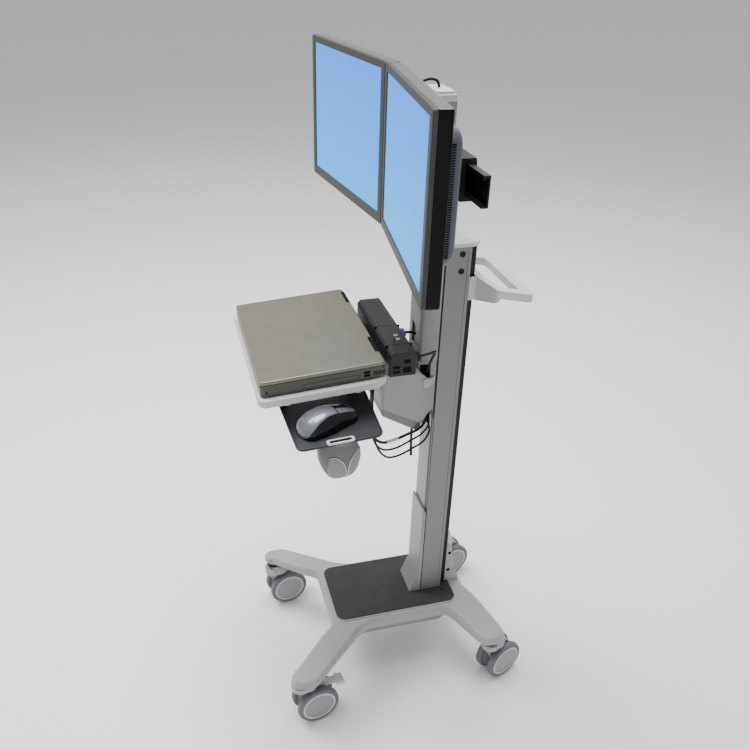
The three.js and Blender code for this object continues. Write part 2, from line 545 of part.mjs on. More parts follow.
function buildDisplay(side) {
  const name = side > 0 ? 'right' : 'left';
  const yaw = -side * DISPLAY.yaw;
  const reach = DISPLAY.halfW + DISPLAY.seam;
  const centre = {
    x: side * reach * Math.cos(rad(DISPLAY.yaw)),
    y: DISPLAY.seamY - reach * Math.sin(rad(DISPLAY.yaw)),
  };
  const group = new THREE.Group();
  group.position.set(centre.x, centre.y, DISPLAY.z);
  group.rotation.z = rad(yaw);
  add(group, `display_back_${name}`, displayBack(), MATERIALS.darkGrey);
  add(group, `display_bezel_${name}`, displayBezel(), MATERIALS.bezel);
  add(group, `display_panel_${name}`, displayPanel(), MATERIALS.screen);
  add(group, `display_head_${name}`, displayHead(), MATERIALS.black);
  cart.add(group);
  add(cart, `display_slider_${name}`, displaySlider(centre, yaw), MATERIALS.black);
}

// ---- cables -------------------------------------------------------------------------------
const CABLES = {
  tray_cable_thick: { r: 3, steps: 26, route: [[108, -160, 876], [110, -163, 820], [116, -165, 765],
    [116, -158, 722], [106, -136, 697], [90, -104, 688], [78, -70, 690], [69, -44, 693], [52, -25, 699], [34, -18, 706]] },
  tray_cable_middle: { r: 2.2, steps: 30, route: [[118, -162, 876], [121, -165, 815], [126, -166, 756],
    [126, -157, 712], [114, -134, 684], [96, -102, 671], [82, -68, 674], [71, -40, 679], [54, -18, 688], [36, -11, 697]] },
  tray_cable_thin: { r: 2.2, steps: 32, route: [[126, -163, 876], [130, -166, 810], [137, -166, 750],
    [138, -154, 706], [124, -130, 672], [104, -98, 657], [88, -62, 659], [75, -34, 664], [56, -15.5, 676], [33, -13, 688]] },
  cable_tail: { r: 3, steps: 14, route: [[26, -44, 678.5], [26, -45, 660], [24, -44, 640], [20, -42, 620], [24, -42, 592]] },
  dock_cable_power: { r: 2.5, steps: 22, route: [[118, -85.6, 897], [118, -70, 897], [116, -50, 899], [104, -34, 895],
    [84, -28, 878], [66, -28, 850], [50, -28, 824], [32, -28, 814]] },
  dock_cable_video: { r: 3, steps: 14, route: [[20, -85.6, 900], [20, -74, 900], [17, -62, 898], [11, -52, 894], [6, -43, 888]] },
  display_cable: { r: 2.5, steps: 18, route: [[-10, -44.6, 1330], [-12, -56, 1334], [-12, -62, 1350], [-10, -56, 1368],
    [-6, -40, 1376], [-2, -27, 1373], [-1, -23, 1363]] },
};

// ---- assembly -----------------------------------------------------------------------------
add(cart, 'base_frame', baseFrame(), MATERIALS.baseGrey);
add(cart, 'foot_mat', footMat(), MATERIALS.charcoal);
add(cart, 'ballast_plate', ballastPlate(), MATERIALS.baseGrey);
CASTERS.forEach(buildCaster);

add(cart, 'mast_extrusion', mastExtrusion(), MATERIALS.mastGrey);
add(cart, 'mast_rear_channel', rearChannel(), MATERIALS.black);
add(cart, 'mast_cap', mastCap(), MATERIALS.lightGrey);
add(cart, 'front_shroud', frontShroud(), MATERIALS.lightGrey);
add(cart, 'push_handle', pushHandle(), MATERIALS.lightGrey);
for (const [name, z] of Object.entries(BOLT_HEIGHTS)) {
  add(cart, `handle_bolt_${name}`, handleBolt().translate([0, DRUM.y, z]), MATERIALS.steel);
}

add(cart, 'lift_carriage', liftCarriage(), MATERIALS.steel);
for (const [name, z] of Object.entries(ROLLERS.zs)) add(cart, `guide_roller_${name}`, guideRoller(z), MATERIALS.black);
add(cart, 'spring_drum', springDrum(), MATERIALS.steel);
add(cart, 'spring_strip', springStrip(), MATERIALS.steel);
add(cart, 'riser_cover', riserCover(), MATERIALS.mastGrey);
add(cart, 'riser_cap', riserCap(), MATERIALS.lightGrey);

const trayGroup = new THREE.Group();
trayGroup.position.set(0, TRAY.pivotY, TRAY.pivotZ);
trayGroup.rotation.x = rad(TRAY.tilt);
const tiltedToCart = (solid) => solid.rotate([TRAY.tilt, 0, 0]).translate([0, TRAY.pivotY, TRAY.pivotZ]);
add(cart, 'tray_arm', trayArm(tiltedToCart), MATERIALS.mastGrey);
add(cart, 'arm_lower_cover', armLowerCover(), MATERIALS.darkGrey);
add(trayGroup, 'worksurface_tray', worksurfaceTray(), MATERIALS.lightGrey);
add(trayGroup, 'laptop_base', laptopBase(), MATERIALS.laptop);
add(trayGroup, 'laptop_lid', laptopLid(), MATERIALS.laptop);
add(trayGroup, 'optical_drive', opticalDrive(), MATERIALS.laptop);
add(trayGroup, 'mouse_tray', mouseTray(), MATERIALS.charcoal);
add(trayGroup, 'holder_cup', holderCup(), MATERIALS.mastGrey);

const mouseGroup = new THREE.Group();
mouseGroup.position.set(MOUSE.x, MOUSE.y, MOUSE_FLOOR);
mouseGroup.rotation.z = rad(MOUSE.yaw);
add(mouseGroup, 'mouse_body', mouseBody(), MATERIALS.black);
add(mouseGroup, 'mouse_button_right', mouseButton(1), MATERIALS.silver);
add(mouseGroup, 'mouse_button_left', mouseButton(-1), MATERIALS.silver);
const scrollWheel = turnedOnX([[-3.6, 0], [-3.6, 8.6], [-3, 9], [3, 9], [3.6, 8.6], [3.6, 0]], 18);
add(mouseGroup, 'mouse_wheel', scrollWheel.translate([0, 34, 21]), MATERIALS.black);
trayGroup.add(mouseGroup);
cart.add(trayGroup);

add(cart, 'dock_body', dockBody(), MATERIALS.charcoal);
for (const [name, x] of Object.entries(DOCK_BUTTONS)) {
  add(cart, name, cylinder('z', 5, x, DOCK_BUTTON_Y, DOCK.z1 - 7, DOCK.z1 + 2), MATERIALS.silver);
}

add(cart, 'crossbar', crossbar(), MATERIALS.black);
buildDisplay(1);
buildDisplay(-1);

for (const [name, { r, steps, route }] of Object.entries(CABLES)) {
  add(cart, name, tube(route, r, steps), MATERIALS.black);
}

export default cart;
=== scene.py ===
import json
import math

import bmesh
import bpy
from mathutils import Matrix, Vector


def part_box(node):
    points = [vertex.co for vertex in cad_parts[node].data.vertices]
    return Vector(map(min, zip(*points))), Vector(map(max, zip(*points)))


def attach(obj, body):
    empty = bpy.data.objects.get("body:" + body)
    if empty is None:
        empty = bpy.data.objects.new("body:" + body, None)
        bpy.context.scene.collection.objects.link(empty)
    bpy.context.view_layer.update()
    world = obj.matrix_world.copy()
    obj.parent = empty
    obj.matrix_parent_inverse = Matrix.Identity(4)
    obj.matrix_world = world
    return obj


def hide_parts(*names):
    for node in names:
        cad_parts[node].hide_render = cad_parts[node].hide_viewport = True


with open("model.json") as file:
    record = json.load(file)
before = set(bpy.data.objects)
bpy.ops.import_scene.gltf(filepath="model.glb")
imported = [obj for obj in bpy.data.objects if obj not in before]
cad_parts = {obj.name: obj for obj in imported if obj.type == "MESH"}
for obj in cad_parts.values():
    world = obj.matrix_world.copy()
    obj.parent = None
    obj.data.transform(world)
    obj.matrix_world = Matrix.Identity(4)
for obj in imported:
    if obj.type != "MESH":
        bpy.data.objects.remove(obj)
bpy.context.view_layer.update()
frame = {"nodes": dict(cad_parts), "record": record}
rad = math.radians
MM = 0.001
MAST_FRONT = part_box("mast_extrusion")[0].y  # the mast's front face, in metres

# Frames of the sub-assemblies, in millimetres; CART scales them to metres. CART has X to the cart's right,
# Y backwards from the mast's front face and Z up from the floor. TRAY has the worksurface's top at Z = 0.
CART = Matrix.Translation((0, MAST_FRONT, 0)) @ Matrix.Scale(MM, 4)
TRAY_PLACE, TRAY_TILT = (0, -269, 888.5), rad(4)
MOUSE_PLACE, MOUSE_TURN = (197, -6, -69.7), rad(19)
TRAY = CART @ Matrix.Translation(TRAY_PLACE) @ Matrix.Rotation(TRAY_TILT, 4, "X")
MOUSE = TRAY @ Matrix.Translation(MOUSE_PLACE) @ Matrix.Rotation(MOUSE_TURN, 4, "Z")

# Each display stands off to its side by REACH along a plane that is turned in by YAW.
YAW = rad(7.2)
REACH = 193.0
HINGE_LINE, DISPLAY_MIDDLE = -123, 1264

# Each caster: swivel axis x and y, and how many degrees the fork is turned.
CASTERS = {"front_right": (194, -336, 10), "front_left": (-194, -336, 9),
           "rear_right": (184, 136, 21), "rear_left": (-184, 136, 14)}


def display_frame(side):
    centre = (side * REACH * math.cos(YAW), HINGE_LINE - REACH * math.sin(YAW), DISPLAY_MIDDLE)
    return CART @ Matrix.Translation(centre) @ Matrix.Rotation(-side * YAW, 4, "Z")


def caster_frame(name):
    x, y, swivel = CASTERS[name]
    return CART @ Matrix.Translation((x, y, 0)) @ Matrix.Rotation(rad(swivel), 4, "Z")


# ---- camera ----
def make_camera():
    az, el, roll = rad(74.89), rad(31.67), rad(1.05)
    back = Vector((math.sin(az) * math.cos(el), -math.cos(az) * math.cos(el), math.sin(el)))
    right = Vector((math.cos(az), math.sin(az), 0))
    up = back.cross(right)
    rolled_right = right * math.cos(roll) + up * math.sin(roll)
    rolled_up = up * math.cos(roll) - right * math.sin(roll)
    data = bpy.data.cameras.new("camera")
    data.lens = 37.346
    data.sensor_width = 36
    data.shift_x = 0.0222
    data.shift_y = 0.0335
    data.clip_end = 50
    camera = bpy.data.objects.new("camera", data)
    camera.matrix_world = Matrix((rolled_right, rolled_up, back)).transposed().to_4x4()
    camera.matrix_world.translation = Vector((1.3624, -0.5275 + MAST_FRONT, 1.6094))
    bpy.context.scene.collection.objects.link(camera)
    bpy.context.scene.camera = camera


make_camera()


# ---- materials ----
COLOUR_A, COLOUR_B, COLOUR_RESULT = 6, 7, 2  # a mix node's sockets when it mixes colours
WEAR_FROM, WEAR_TO = 0.53, 0.62  # pointiness at which an edge starts and ends to wear


def material(name, colour, rough, metal=0.0, shade=0.12, mottle=35, grain=900, bump=0.08, wear=0.0,
             coat=0.0, stretch=(1, 1, 1), spec=0.5, distance=0.0004):
    """A mottled surface with a fine grain, whose edges are paler by the amount of wear.

    shade is how far the mottling moves the colour, and distance is the grain's depth in metres.
    """
    rough_var = 0.08
    m = bpy.data.materials.new(name)
    m.use_nodes = True
    nodes, links = m.node_tree.nodes, m.node_tree.links
    bsdf = nodes["Principled BSDF"]
    bsdf.inputs["Metallic"].default_value = metal
    bsdf.inputs["Coat Weight"].default_value = coat
    bsdf.inputs["Coat Roughness"].default_value = 0.12
    bsdf.inputs["Specular IOR Level"].default_value = spec
    coord = nodes.new("ShaderNodeTexCoord")
    mapping = nodes.new("ShaderNodeMapping")
    mapping.inputs["Scale"].default_value = stretch
    links.new(coord.outputs["Object"], mapping.inputs["Vector"])

    def noise(scale, detail, vector):
        n = nodes.new("ShaderNodeTexNoise")
        n.inputs["Scale"].default_value = scale
        n.inputs["Detail"].default_value = detail
        links.new(vector, n.inputs["Vector"])
        return n.outputs["Fac"]

    low = noise(mottle, 4, coord.outputs["Object"])
    fine = noise(grain, 3, mapping.outputs["Vector"])
    ramp = nodes.new("ShaderNodeValToRGB")
    ramp.color_ramp.elements[0].position = 0.3
    ramp.color_ramp.elements[1].position = 0.7
    ramp.color_ramp.elements[0].color = [c * (1 - shade) for c in colour] + [1]
    ramp.color_ramp.elements[1].color = [min(1, c * (1 + shade)) for c in colour] + [1]
    links.new(low, ramp.inputs["Fac"])
    tint = ramp.outputs["Color"]
    if wear:
        geometry = nodes.new("ShaderNodeNewGeometry")
        edge = nodes.new("ShaderNodeMapRange")
        edge.inputs["From Min"].default_value = WEAR_FROM
        edge.inputs["From Max"].default_value = WEAR_TO
        links.new(geometry.outputs["Pointiness"], edge.inputs["Value"])
        patch = nodes.new("ShaderNodeMath")
        patch.operation = "MULTIPLY"
        links.new(edge.outputs["Result"], patch.inputs[0])
        links.new(low, patch.inputs[1])
        amount = nodes.new("ShaderNodeMath")
        amount.operation = "MULTIPLY"
        amount.inputs[1].default_value = wear
        links.new(patch.outputs["Value"], amount.inputs[0])
        mix = nodes.new("ShaderNodeMix")
        mix.data_type = "RGBA"
        links.new(amount.outputs["Value"], mix.inputs["Factor"])
        links.new(tint, mix.inputs[COLOUR_A])
        mix.inputs[COLOUR_B].default_value = [min(1, c * 1.6 + 0.05) for c in colour] + [1]
        tint = mix.outputs[COLOUR_RESULT]
    links.new(tint, bsdf.inputs["Base Color"])
    spread = nodes.new("ShaderNodeMapRange")
    spread.inputs["To Min"].default_value = max(0.02, rough - rough_var)
    spread.inputs["To Max"].default_value = min(1, rough + rough_var)
    links.new(low, spread.inputs["Value"])
    links.new(spread.outputs["Result"], bsdf.inputs["Roughness"])
    if bump:
        relief = nodes.new("ShaderNodeBump")
        relief.inputs["Strength"].default_value = bump
        relief.inputs["Distance"].default_value = distance
        links.new(fine, relief.inputs["Height"])
        links.new(relief.outputs["Normal"], bsdf.inputs["Normal"])
    return m


LIGHT = material("light_grey_paint", (0.57, 0.57, 0.555), 0.42, shade=0.03, grain=1400, bump=0.12, wear=0.5)
BASE = material("base_paint", (0.35, 0.35, 0.345), 0.40, shade=0.04, grain=1200, bump=0.15, wear=0.6)
SHROUD = material("shroud_paint", (0.27, 0.275, 0.28), 0.42, shade=0.03, grain=1400, bump=0.1, wear=0.4)
ALU = material("mast_aluminium", (0.21, 0.21, 0.208), 0.42, metal=0.1, shade=0.03, grain=500, bump=0.06,
               stretch=(1, 1, 0.02), wear=0.5)
ARM = material("arm_paint", (0.24, 0.24, 0.24), 0.42, shade=0.04, grain=1400, bump=0.12, wear=0.5)
COVER = material("cover_plastic", (0.070, 0.076, 0.102), 0.5, spec=0.4, shade=0.08, grain=1600, bump=0.3,
                 wear=0.25)
CHARCOAL = material("charcoal_plastic", (0.028, 0.028, 0.032), 0.5, spec=0.35, shade=0.1, grain=1500,
                    bump=0.3, wear=0.4)
DOCK = material("dock_shell", (0.016, 0.016, 0.017), 0.45, spec=0.3, shade=0.1, grain=1500, bump=0.25,
                wear=0.4)
BLACK = material("black_plastic", (0.006, 0.006, 0.007), 0.42, spec=0.25, shade=0.12, grain=1500, bump=0.2,
                 wear=0.3)
BLACK_METAL = material("black_metal", (0.006, 0.006, 0.007), 0.34, spec=0.25, shade=0.1, grain=1100,
                       bump=0.12, wear=0.3)
MAT = material("mat_rubber", (0.036, 0.036, 0.039), 0.72, spec=0.3, shade=0.14, grain=420, bump=0.6,
               distance=0.0008)
STEEL = material("steel", (0.50, 0.50, 0.50), 0.3, metal=1.0, shade=0.06, stretch=(1, 1, 0.1))
TYRE = material("tyre", (0.13, 0.13, 0.145), 0.6, shade=0.12, grain=700, bump=0.2, mottle=60)
HUB = material("hub_plastic", (0.29, 0.29, 0.29), 0.42, shade=0.05, grain=1300, bump=0.15)
# Paler than the arm's paint: a painted highlight, for a scoop in the arm cover that is lit from above.
ARM_TAB_HIGHLIGHT = material("arm_tab_highlight", (0.34, 0.34, 0.34), 0.4, shade=0.03, grain=1400, bump=0.1, wear=0.4)
ARM_DARK = material("arm_cover_paint", (0.15, 0.15, 0.155), 0.5, shade=0.05, grain=1400, bump=0.15, wear=0.3)
LAPTOP_BASE = material("laptop_base_shell", (0.068, 0.063, 0.053), 0.4, metal=0.2, shade=0.06, grain=2200,
                       bump=0.12, wear=0.4)
RIM_BLACK = material("display_rim", (0.003, 0.003, 0.004), 0.3, spec=0.15, shade=0.1, grain=1600, bump=0.1)
# Paler than the black rim: a painted sheen, the top light's reflection on the rim's top faces.
RIM_TOP_SHEEN = material("display_rim_top_sheen", (0.10, 0.097, 0.09), 0.4, shade=0.06, grain=1700, bump=0.15)
LAPTOP = material("laptop_shell", (0.185, 0.174, 0.132), 0.36, metal=0.5, shade=0.015, grain=2600, bump=0.1,
                  wear=0.3)
BEZEL = material("bezel_plastic", (0.050, 0.048, 0.044), 0.46, spec=0.3, shade=0.06, grain=1700, bump=0.25)
SILVER = material("silver_plastic", (0.21, 0.22, 0.235), 0.28, metal=0.4, shade=0.05, grain=1600, bump=0.06,
                  coat=0.3)
CABLE = material("cable", (0.008, 0.008, 0.009), 0.45, spec=0.25, shade=0.15, grain=500, bump=0.12)
# Near black with two uses: dark seam lines, which are joints, and painted shade filling holes, slots, notches,
# vents, port openings and the gap above each caster.
HOLLOW_SHADE_AND_SEAM = material("hollow_shade_and_seam_black", (0.002, 0.002, 0.002), 0.6, spec=0.1, shade=0.1, grain=900, bump=0.1)
MOUSE_BLACK = material("mouse_side", (0.004, 0.004, 0.005), 0.2, spec=0.4, shade=0.1, grain=1400, bump=0.03)
LABEL = material("label_white", (0.72, 0.72, 0.70), 0.5, shade=0.04, grain=900, bump=0.05)
PLUG_BLUE = material("plug_blue", (0.008, 0.03, 0.22), 0.45, shade=0.08, grain=1300, bump=0.1)


SCREEN_LOW, SCREEN_HIGH = 1.141, 1.393  # height of the lit area above the floor, in metres


def screen_material(name):
    """A lit display: a plain blue that fades from a paler lower edge to a deeper upper one."""
    m = material(name, (0.01, 0.02, 0.04), 0.4, bump=0.0, spec=0.03)
    nodes, links = m.node_tree.nodes, m.node_tree.links
    bsdf = nodes["Principled BSDF"]
    coord = nodes.new("ShaderNodeTexCoord")
    split = nodes.new("ShaderNodeSeparateXYZ")
    links.new(coord.outputs["Object"], split.inputs["Vector"])
    height = nodes.new("ShaderNodeMapRange")
    height.inputs["From Min"].default_value = SCREEN_LOW
    height.inputs["From Max"].default_value = SCREEN_HIGH
    links.new(split.outputs["Z"], height.inputs["Value"])
    ramp = nodes.new("ShaderNodeValToRGB")
    ramp.color_ramp.elements[0].color = (0.030, 0.42, 1.0, 1)
    ramp.color_ramp.elements[1].color = (0.045, 0.27, 1.0, 1)
    middle = ramp.color_ramp.elements.new(0.5)
    middle.color = (0.036, 0.34, 1.0, 1)
    links.new(height.outputs["Result"], ramp.inputs["Fac"])
    links.new(ramp.outputs["Color"], bsdf.inputs["Emission Color"])
    bsdf.inputs["Emission Strength"].default_value = 1.9
    return m


# ---- mesh helpers ----
WELD = 2e-5  # CAD corners closer than this are one, in metres
FLAT = rad(0.6)  # CAD faces within this angle are one flat


def finish_mesh(bm, name, body, mats, at=None, replaces=(), bevel=0.0, segments=3, angle=32, smooth=36):
    """Turns a bmesh, in millimetres of the frame `at`, into a shown piece that rides on a body."""
    mesh = bpy.data.meshes.new(name)
    bmesh.ops.recalc_face_normals(bm, faces=bm.faces)
    bm.to_mesh(mesh)
    bm.free()
    if at is not None:
        mesh.transform(at)
    piece = bpy.data.objects.new(name, mesh)
    bpy.context.scene.collection.objects.link(piece)
    for m in mats if isinstance(mats, (list, tuple)) else [mats]:
        mesh.materials.append(m)
    if bevel:
        modifier = piece.modifiers.new("bevel", "BEVEL")
        modifier.width = bevel * MM
        modifier.segments = segments
        modifier.limit_method = "ANGLE"
        modifier.angle_limit = rad(angle)
        modifier.miter_outer = "MITER_ARC"
        modifier.use_clamp_overlap = True
    apply_modifiers(piece)
    mesh = piece.data
    mesh.shade_smooth()
    mesh.set_sharp_from_angle(angle=rad(smooth))
    modifier = piece.modifiers.new("normals", "WEIGHTED_NORMAL")
    modifier.keep_sharp = True
    apply_modifiers(piece)
    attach(piece, body)
    for node in replaces:
        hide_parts(node)
    return piece


def apply_modifiers(piece):
    if not piece.modifiers:
        return
    bpy.context.view_layer.update()
    graph = bpy.context.evaluated_depsgraph_get()
    mesh = bpy.data.meshes.new_from_object(piece.evaluated_get(graph))
    old = piece.data
    piece.modifiers.clear()
    piece.data = mesh
    bpy.data.meshes.remove(old)


def body_of(node):
    return next(b for b, ns in frame["record"]["behaviour"]["bodies"].items() if node in ns)


def refine(node, mats, bevel=0.8, segments=3, angle=32, name=None, adjust=None):
    """A CAD node's own shape, its flats cleaned and its edges rounded; adjust(vertex) may move corners."""
    bm = bmesh.new()
    bm.from_mesh(frame["nodes"][node].data)
    bmesh.ops.remove_doubles(bm, verts=bm.verts, dist=WELD)
    bmesh.ops.dissolve_limit(bm, angle_limit=FLAT, verts=bm.verts, edges=bm.edges)
    if adjust:
        for v in bm.verts:
            adjust(v)
    for face in bm.faces:
        face.material_index = 0
    return finish_mesh(bm, name or node + "_shape", body_of(node), mats, replaces=[node],
                       bevel=bevel, segments=segments, angle=angle)


def rounded(x0, x1, y0, y1, radius, inset=0.0, steps=8):
    """Rounded rectangle, counter-clockwise, always with the same number of points."""
    x0, x1, y0, y1 = x0 + inset, x1 - inset, y0 + inset, y1 - inset
    radii = radius if isinstance(radius, (list, tuple)) else [radius] * 4
    points = []
    for (cx, cy, start), r in zip(((x0, y0, 180), (x1, y0, 270), (x1, y1, 0), (x0, y1, 90)), radii):
        r = max(r - inset, 0.3)
        sx, sy = (1 if cx == x0 else -1), (1 if cy == y0 else -1)
        for i in range(steps + 1):
            a = rad(start + 90 * i / steps)
            points.append((cx + sx * r + r * math.cos(a), cy + sy * r + r * math.sin(a)))
    return points


def loft(bm, loops, closed=False):
    """Joins loops of equal length, each a list of 3-D points; caps the ends, or joins them if closed."""
    rings = [[bm.verts.new(p) for p in loop] for loop in loops]
    n = len(rings[0])
    pairs = list(zip(rings, rings[1:])) + ([(rings[-1], rings[0])] if closed else [])
    for a, b in pairs:
        for i in range(n):
            bm.faces.new((a[i], a[(i + 1) % n], b[(i + 1) % n], b[i]))
    if not closed:
        for ring in (rings[0], rings[-1]):
            bm.faces.new(ring)


def slab(bm, plan, levels):
    """Lofts plan(inset) through (inset, z) levels."""
    loft(bm, [[(x, y, z) for x, y in plan(inset)] for inset, z in levels])


def swap_y_z(bm):
    """Stands up a slab that was lofted along Z, so that its levels run along Y."""
    for v in bm.verts:
        v.co = Vector((v.co.x, v.co.z, v.co.y))


def edge_levels(z0, z1, r0, r1, steps=4):
    """(inset, z) levels for a slab whose bottom and top edges are rounded."""
    levels = []
    for i in range(steps + 1):
        a = rad(90 * i / steps)
        levels.append((r0 * (1 - math.sin(a)), z0 + r0 * (1 - math.cos(a))))
    for i in range(steps + 1):
        a = rad(90 * i / steps)
        levels.append((r1 * (1 - math.cos(a)), z1 - r1 * (1 - math.sin(a))))
    return levels


def add_box(bm, x0, x1, y0, y1, z0, z1):
    loft(bm, [[(x0, y0, z), (x1, y0, z), (x1, y1, z), (x0, y1, z)] for z in (z0, z1)])


def add_prism(bm, outline, axis, a, b):
    """Extrudes an outline from a to b: (y, z) points along x, or (x, z) points along y."""
    place = {"x": lambda u, v, w: (w, u, v), "y": lambda u, v, w: (u, w, v)}[axis]
    loft(bm, [[place(u, v, w) for u, v in outline] for w in (a, b)])


def circle(u, v, r, n=32):
    return [(u + r * math.cos(2 * math.pi * i / n), v + r * math.sin(2 * math.pi * i / n)) for i in range(n)]


ON_AXIS = 1e-6


def add_turned(bm, profile, axis, centre, n=64, indices=None):
    """Revolves (along, radius) points about an axis through centre; both ends lie on the axis.

    indices gives the material slot of each stretch of the profile.
    """
    cx, cy, cz = centre
    place = {"x": lambda w, c, s: (cx + w, cy + c, cz + s), "y": lambda w, c, s: (cx + s, cy + w, cz + c),
             "z": lambda w, c, s: (cx + c, cy + s, cz + w)}[axis]
    rings = []
    for w, r in profile:
        if r <= ON_AXIS:
            rings.append([bm.verts.new(place(w, 0, 0))])
        else:
            rings.append([bm.verts.new(place(w, c, s)) for c, s in circle(0, 0, r, n)])
    for k, (a, b) in enumerate(zip(rings, rings[1:])):
        for i in range(n):
            j = (i + 1) % n
            if len(a) == 1:
                corners = [a[0], b[j], b[i]]
            elif len(b) == 1:
                corners = [a[i], a[j], b[0]]
            else:
                corners = [a[i], a[j], b[j], b[i]]
            face = bm.faces.new(corners)
            face.material_index = indices[k] if indices else 0


def smooth_path(points, per=10):
    """Centripetal Catmull-Rom samples through points, ends included."""
    pts = [Vector(p) for p in points]
    pts = [pts[0] * 2 - pts[1]] + pts + [pts[-1] * 2 - pts[-2]]
    out = []
    for i in range(1, len(pts) - 2):
        p0, p1, p2, p3 = pts[i - 1:i + 3]
        t0 = 0.0
        t1 = t0 + (p1 - p0).length ** 0.5
        t2 = t1 + (p2 - p1).length ** 0.5
        t3 = t2 + (p3 - p2).length ** 0.5
        for k in range(per):
            t = t1 + (t2 - t1) * k / per
            a1 = p0 * ((t1 - t) / (t1 - t0)) + p1 * ((t - t0) / (t1 - t0))
            a2 = p1 * ((t2 - t) / (t2 - t1)) + p2 * ((t - t1) / (t2 - t1))
            a3 = p2 * ((t3 - t) / (t3 - t2)) + p3 * ((t - t2) / (t3 - t2))
            b1 = a1 * ((t2 - t) / (t2 - t0)) + a2 * ((t - t0) / (t2 - t0))
            b2 = a2 * ((t3 - t) / (t3 - t1)) + a3 * ((t - t1) / (t3 - t1))
            out.append(b1 * ((t2 - t) / (t2 - t1)) + b2 * ((t - t1) / (t2 - t1)))
    return out + [pts[-2]]


def sweep(bm, path, section):
    """Sweeps a section of (side, up) points along 3-D points without twisting it."""
    loops = []
    side = None
    for i, p in enumerate(path):
        before = path[i - 1] if i else p
        after = path[i + 1] if i < len(path) - 1 else p
        tangent = (after - before).normalized()
        if side is None:
            side = tangent.orthogonal().normalized()
        side = (side - tangent * side.dot(tangent)).normalized()
        up = tangent.cross(side)
        loops.append([p + side * u + up * v for u, v in section])
    loft(bm, loops)


# ---- cables ----
# Each free cable: radius, how it lies, its far end, and its route in the cart's frame.
PER_STRETCH = 12  # samples between two points of a route
SLEEVE = slice(52, 64)  # samples of the thick cable that its sleeve covers
SLEEVE_WALL = 0.5
CABLES = {
    "tray_cable_thick": (3.0, "hanging", "object", [
        (108, -160, 876), (110, -163, 820), (116, -165, 765), (116, -158, 722), (106, -136, 697),
        (90, -104, 688), (78, -70, 690), (69, -44, 693), (52, -25, 699), (34, -18, 706)]),
    "tray_cable_middle": (2.2, "hanging", "object", [
        (118, -162, 876), (121, -165, 815), (126, -166, 756), (126, -157, 712), (114, -134, 684),
        (96, -102, 671), (82, -68, 674), (71, -40, 679), (54, -18, 688), (36, -11, 697)]),
    "tray_cable_thin": (2.2, "hanging", "object", [
        (126, -163, 876), (130, -166, 810), (137, -166, 750), (138, -154, 706), (124, -130, 672),
        (104, -98, 657), (88, -62, 659), (75, -34, 664), (56, -15.5, 676), (33, -13, 688)]),
    "cable_tail": (3.0, "hanging", "bare", [
        (26, -44, 678.5), (26, -45, 660), (24, -44, 640), (20, -42, 620), (24, -42, 592)]),
    "dock_cable_power": (2.5, "loose", "object", [
        (118, -85.6, 897), (118, -70, 897), (116, -50, 899), (104, -34, 895), (84, -28, 878), (66, -28, 850),
        (50, -28, 824), (32, -28, 814)]),
    "dock_cable_video": (3.0, "loose", "object", [
        (20, -85.6, 900), (20, -74, 900), (17, -62, 898), (11, -52, 894), (6, -43, 888)]),
    "display_cable": (2.5, "loose", "object", [
        (-10, -44.6, 1330), (-12, -56, 1334), (-12, -62, 1350), (-10, -56, 1368), (-6, -40, 1376),
        (-2, -27, 1373), (-1, -23, 1363)]),
}


def make_cables():
    for node, (r, lay, far_end, route) in CABLES.items():
        path = [CART @ p for p in smooth_path(route, PER_STRETCH)]
        bm = bmesh.new()
        sweep(bm, path, [(u * MM, v * MM) for u, v in circle(0, 0, r, 16)])
        piece = finish_mesh(bm, node + "_sheath", body_of(node), CABLE, replaces=[node], smooth=60)
        if node == "tray_cable_thick":
            bm = bmesh.new()
            sweep(bm, path[SLEEVE], [(u * MM, v * MM) for u, v in circle(0, 0, r + SLEEVE_WALL, 24)])
            finish_mesh(bm, "cable_sleeve", body_of(node), LABEL, smooth=60)


make_cables()


# ---- base ----
def fillet(corners, steps=6):
    """Rounds each (x, y, radius) corner of a closed outline."""
    out = []
    n = len(corners)
    for i, (x, y, r) in enumerate(corners):
        p = Vector((x, y))
        a = Vector(corners[i - 1][:2]) - p
        b = Vector(corners[(i + 1) % n][:2]) - p
        half = a.angle(b) / 2
        cut = min(r / math.tan(half), 0.48 * a.length, 0.48 * b.length)
        start, end = p + a.normalized() * cut, p + b.normalized() * cut
        for k in range(steps + 1):
            t = k / steps
            out.append(tuple(start * (1 - t) ** 2 + p * 2 * t * (1 - t) + end * t ** 2))
    return out


def offset(outline, inset):
    """Moves a counter-clockwise outline inwards by inset along its corner normals."""
    out = []
    n = len(outline)
    for i in range(n):
        p, a, b = Vector(outline[i]), Vector(outline[i - 1]), Vector(outline[(i + 1) % n])
        u, v = (p - a).normalized(), (b - p).normalized()
        m = Vector((-u.y - v.y, u.x + v.x))
        m = m.normalized() if m.length > 1e-6 else Vector((-u.y, u.x))
        out.append(tuple(p + m * inset))
    return out


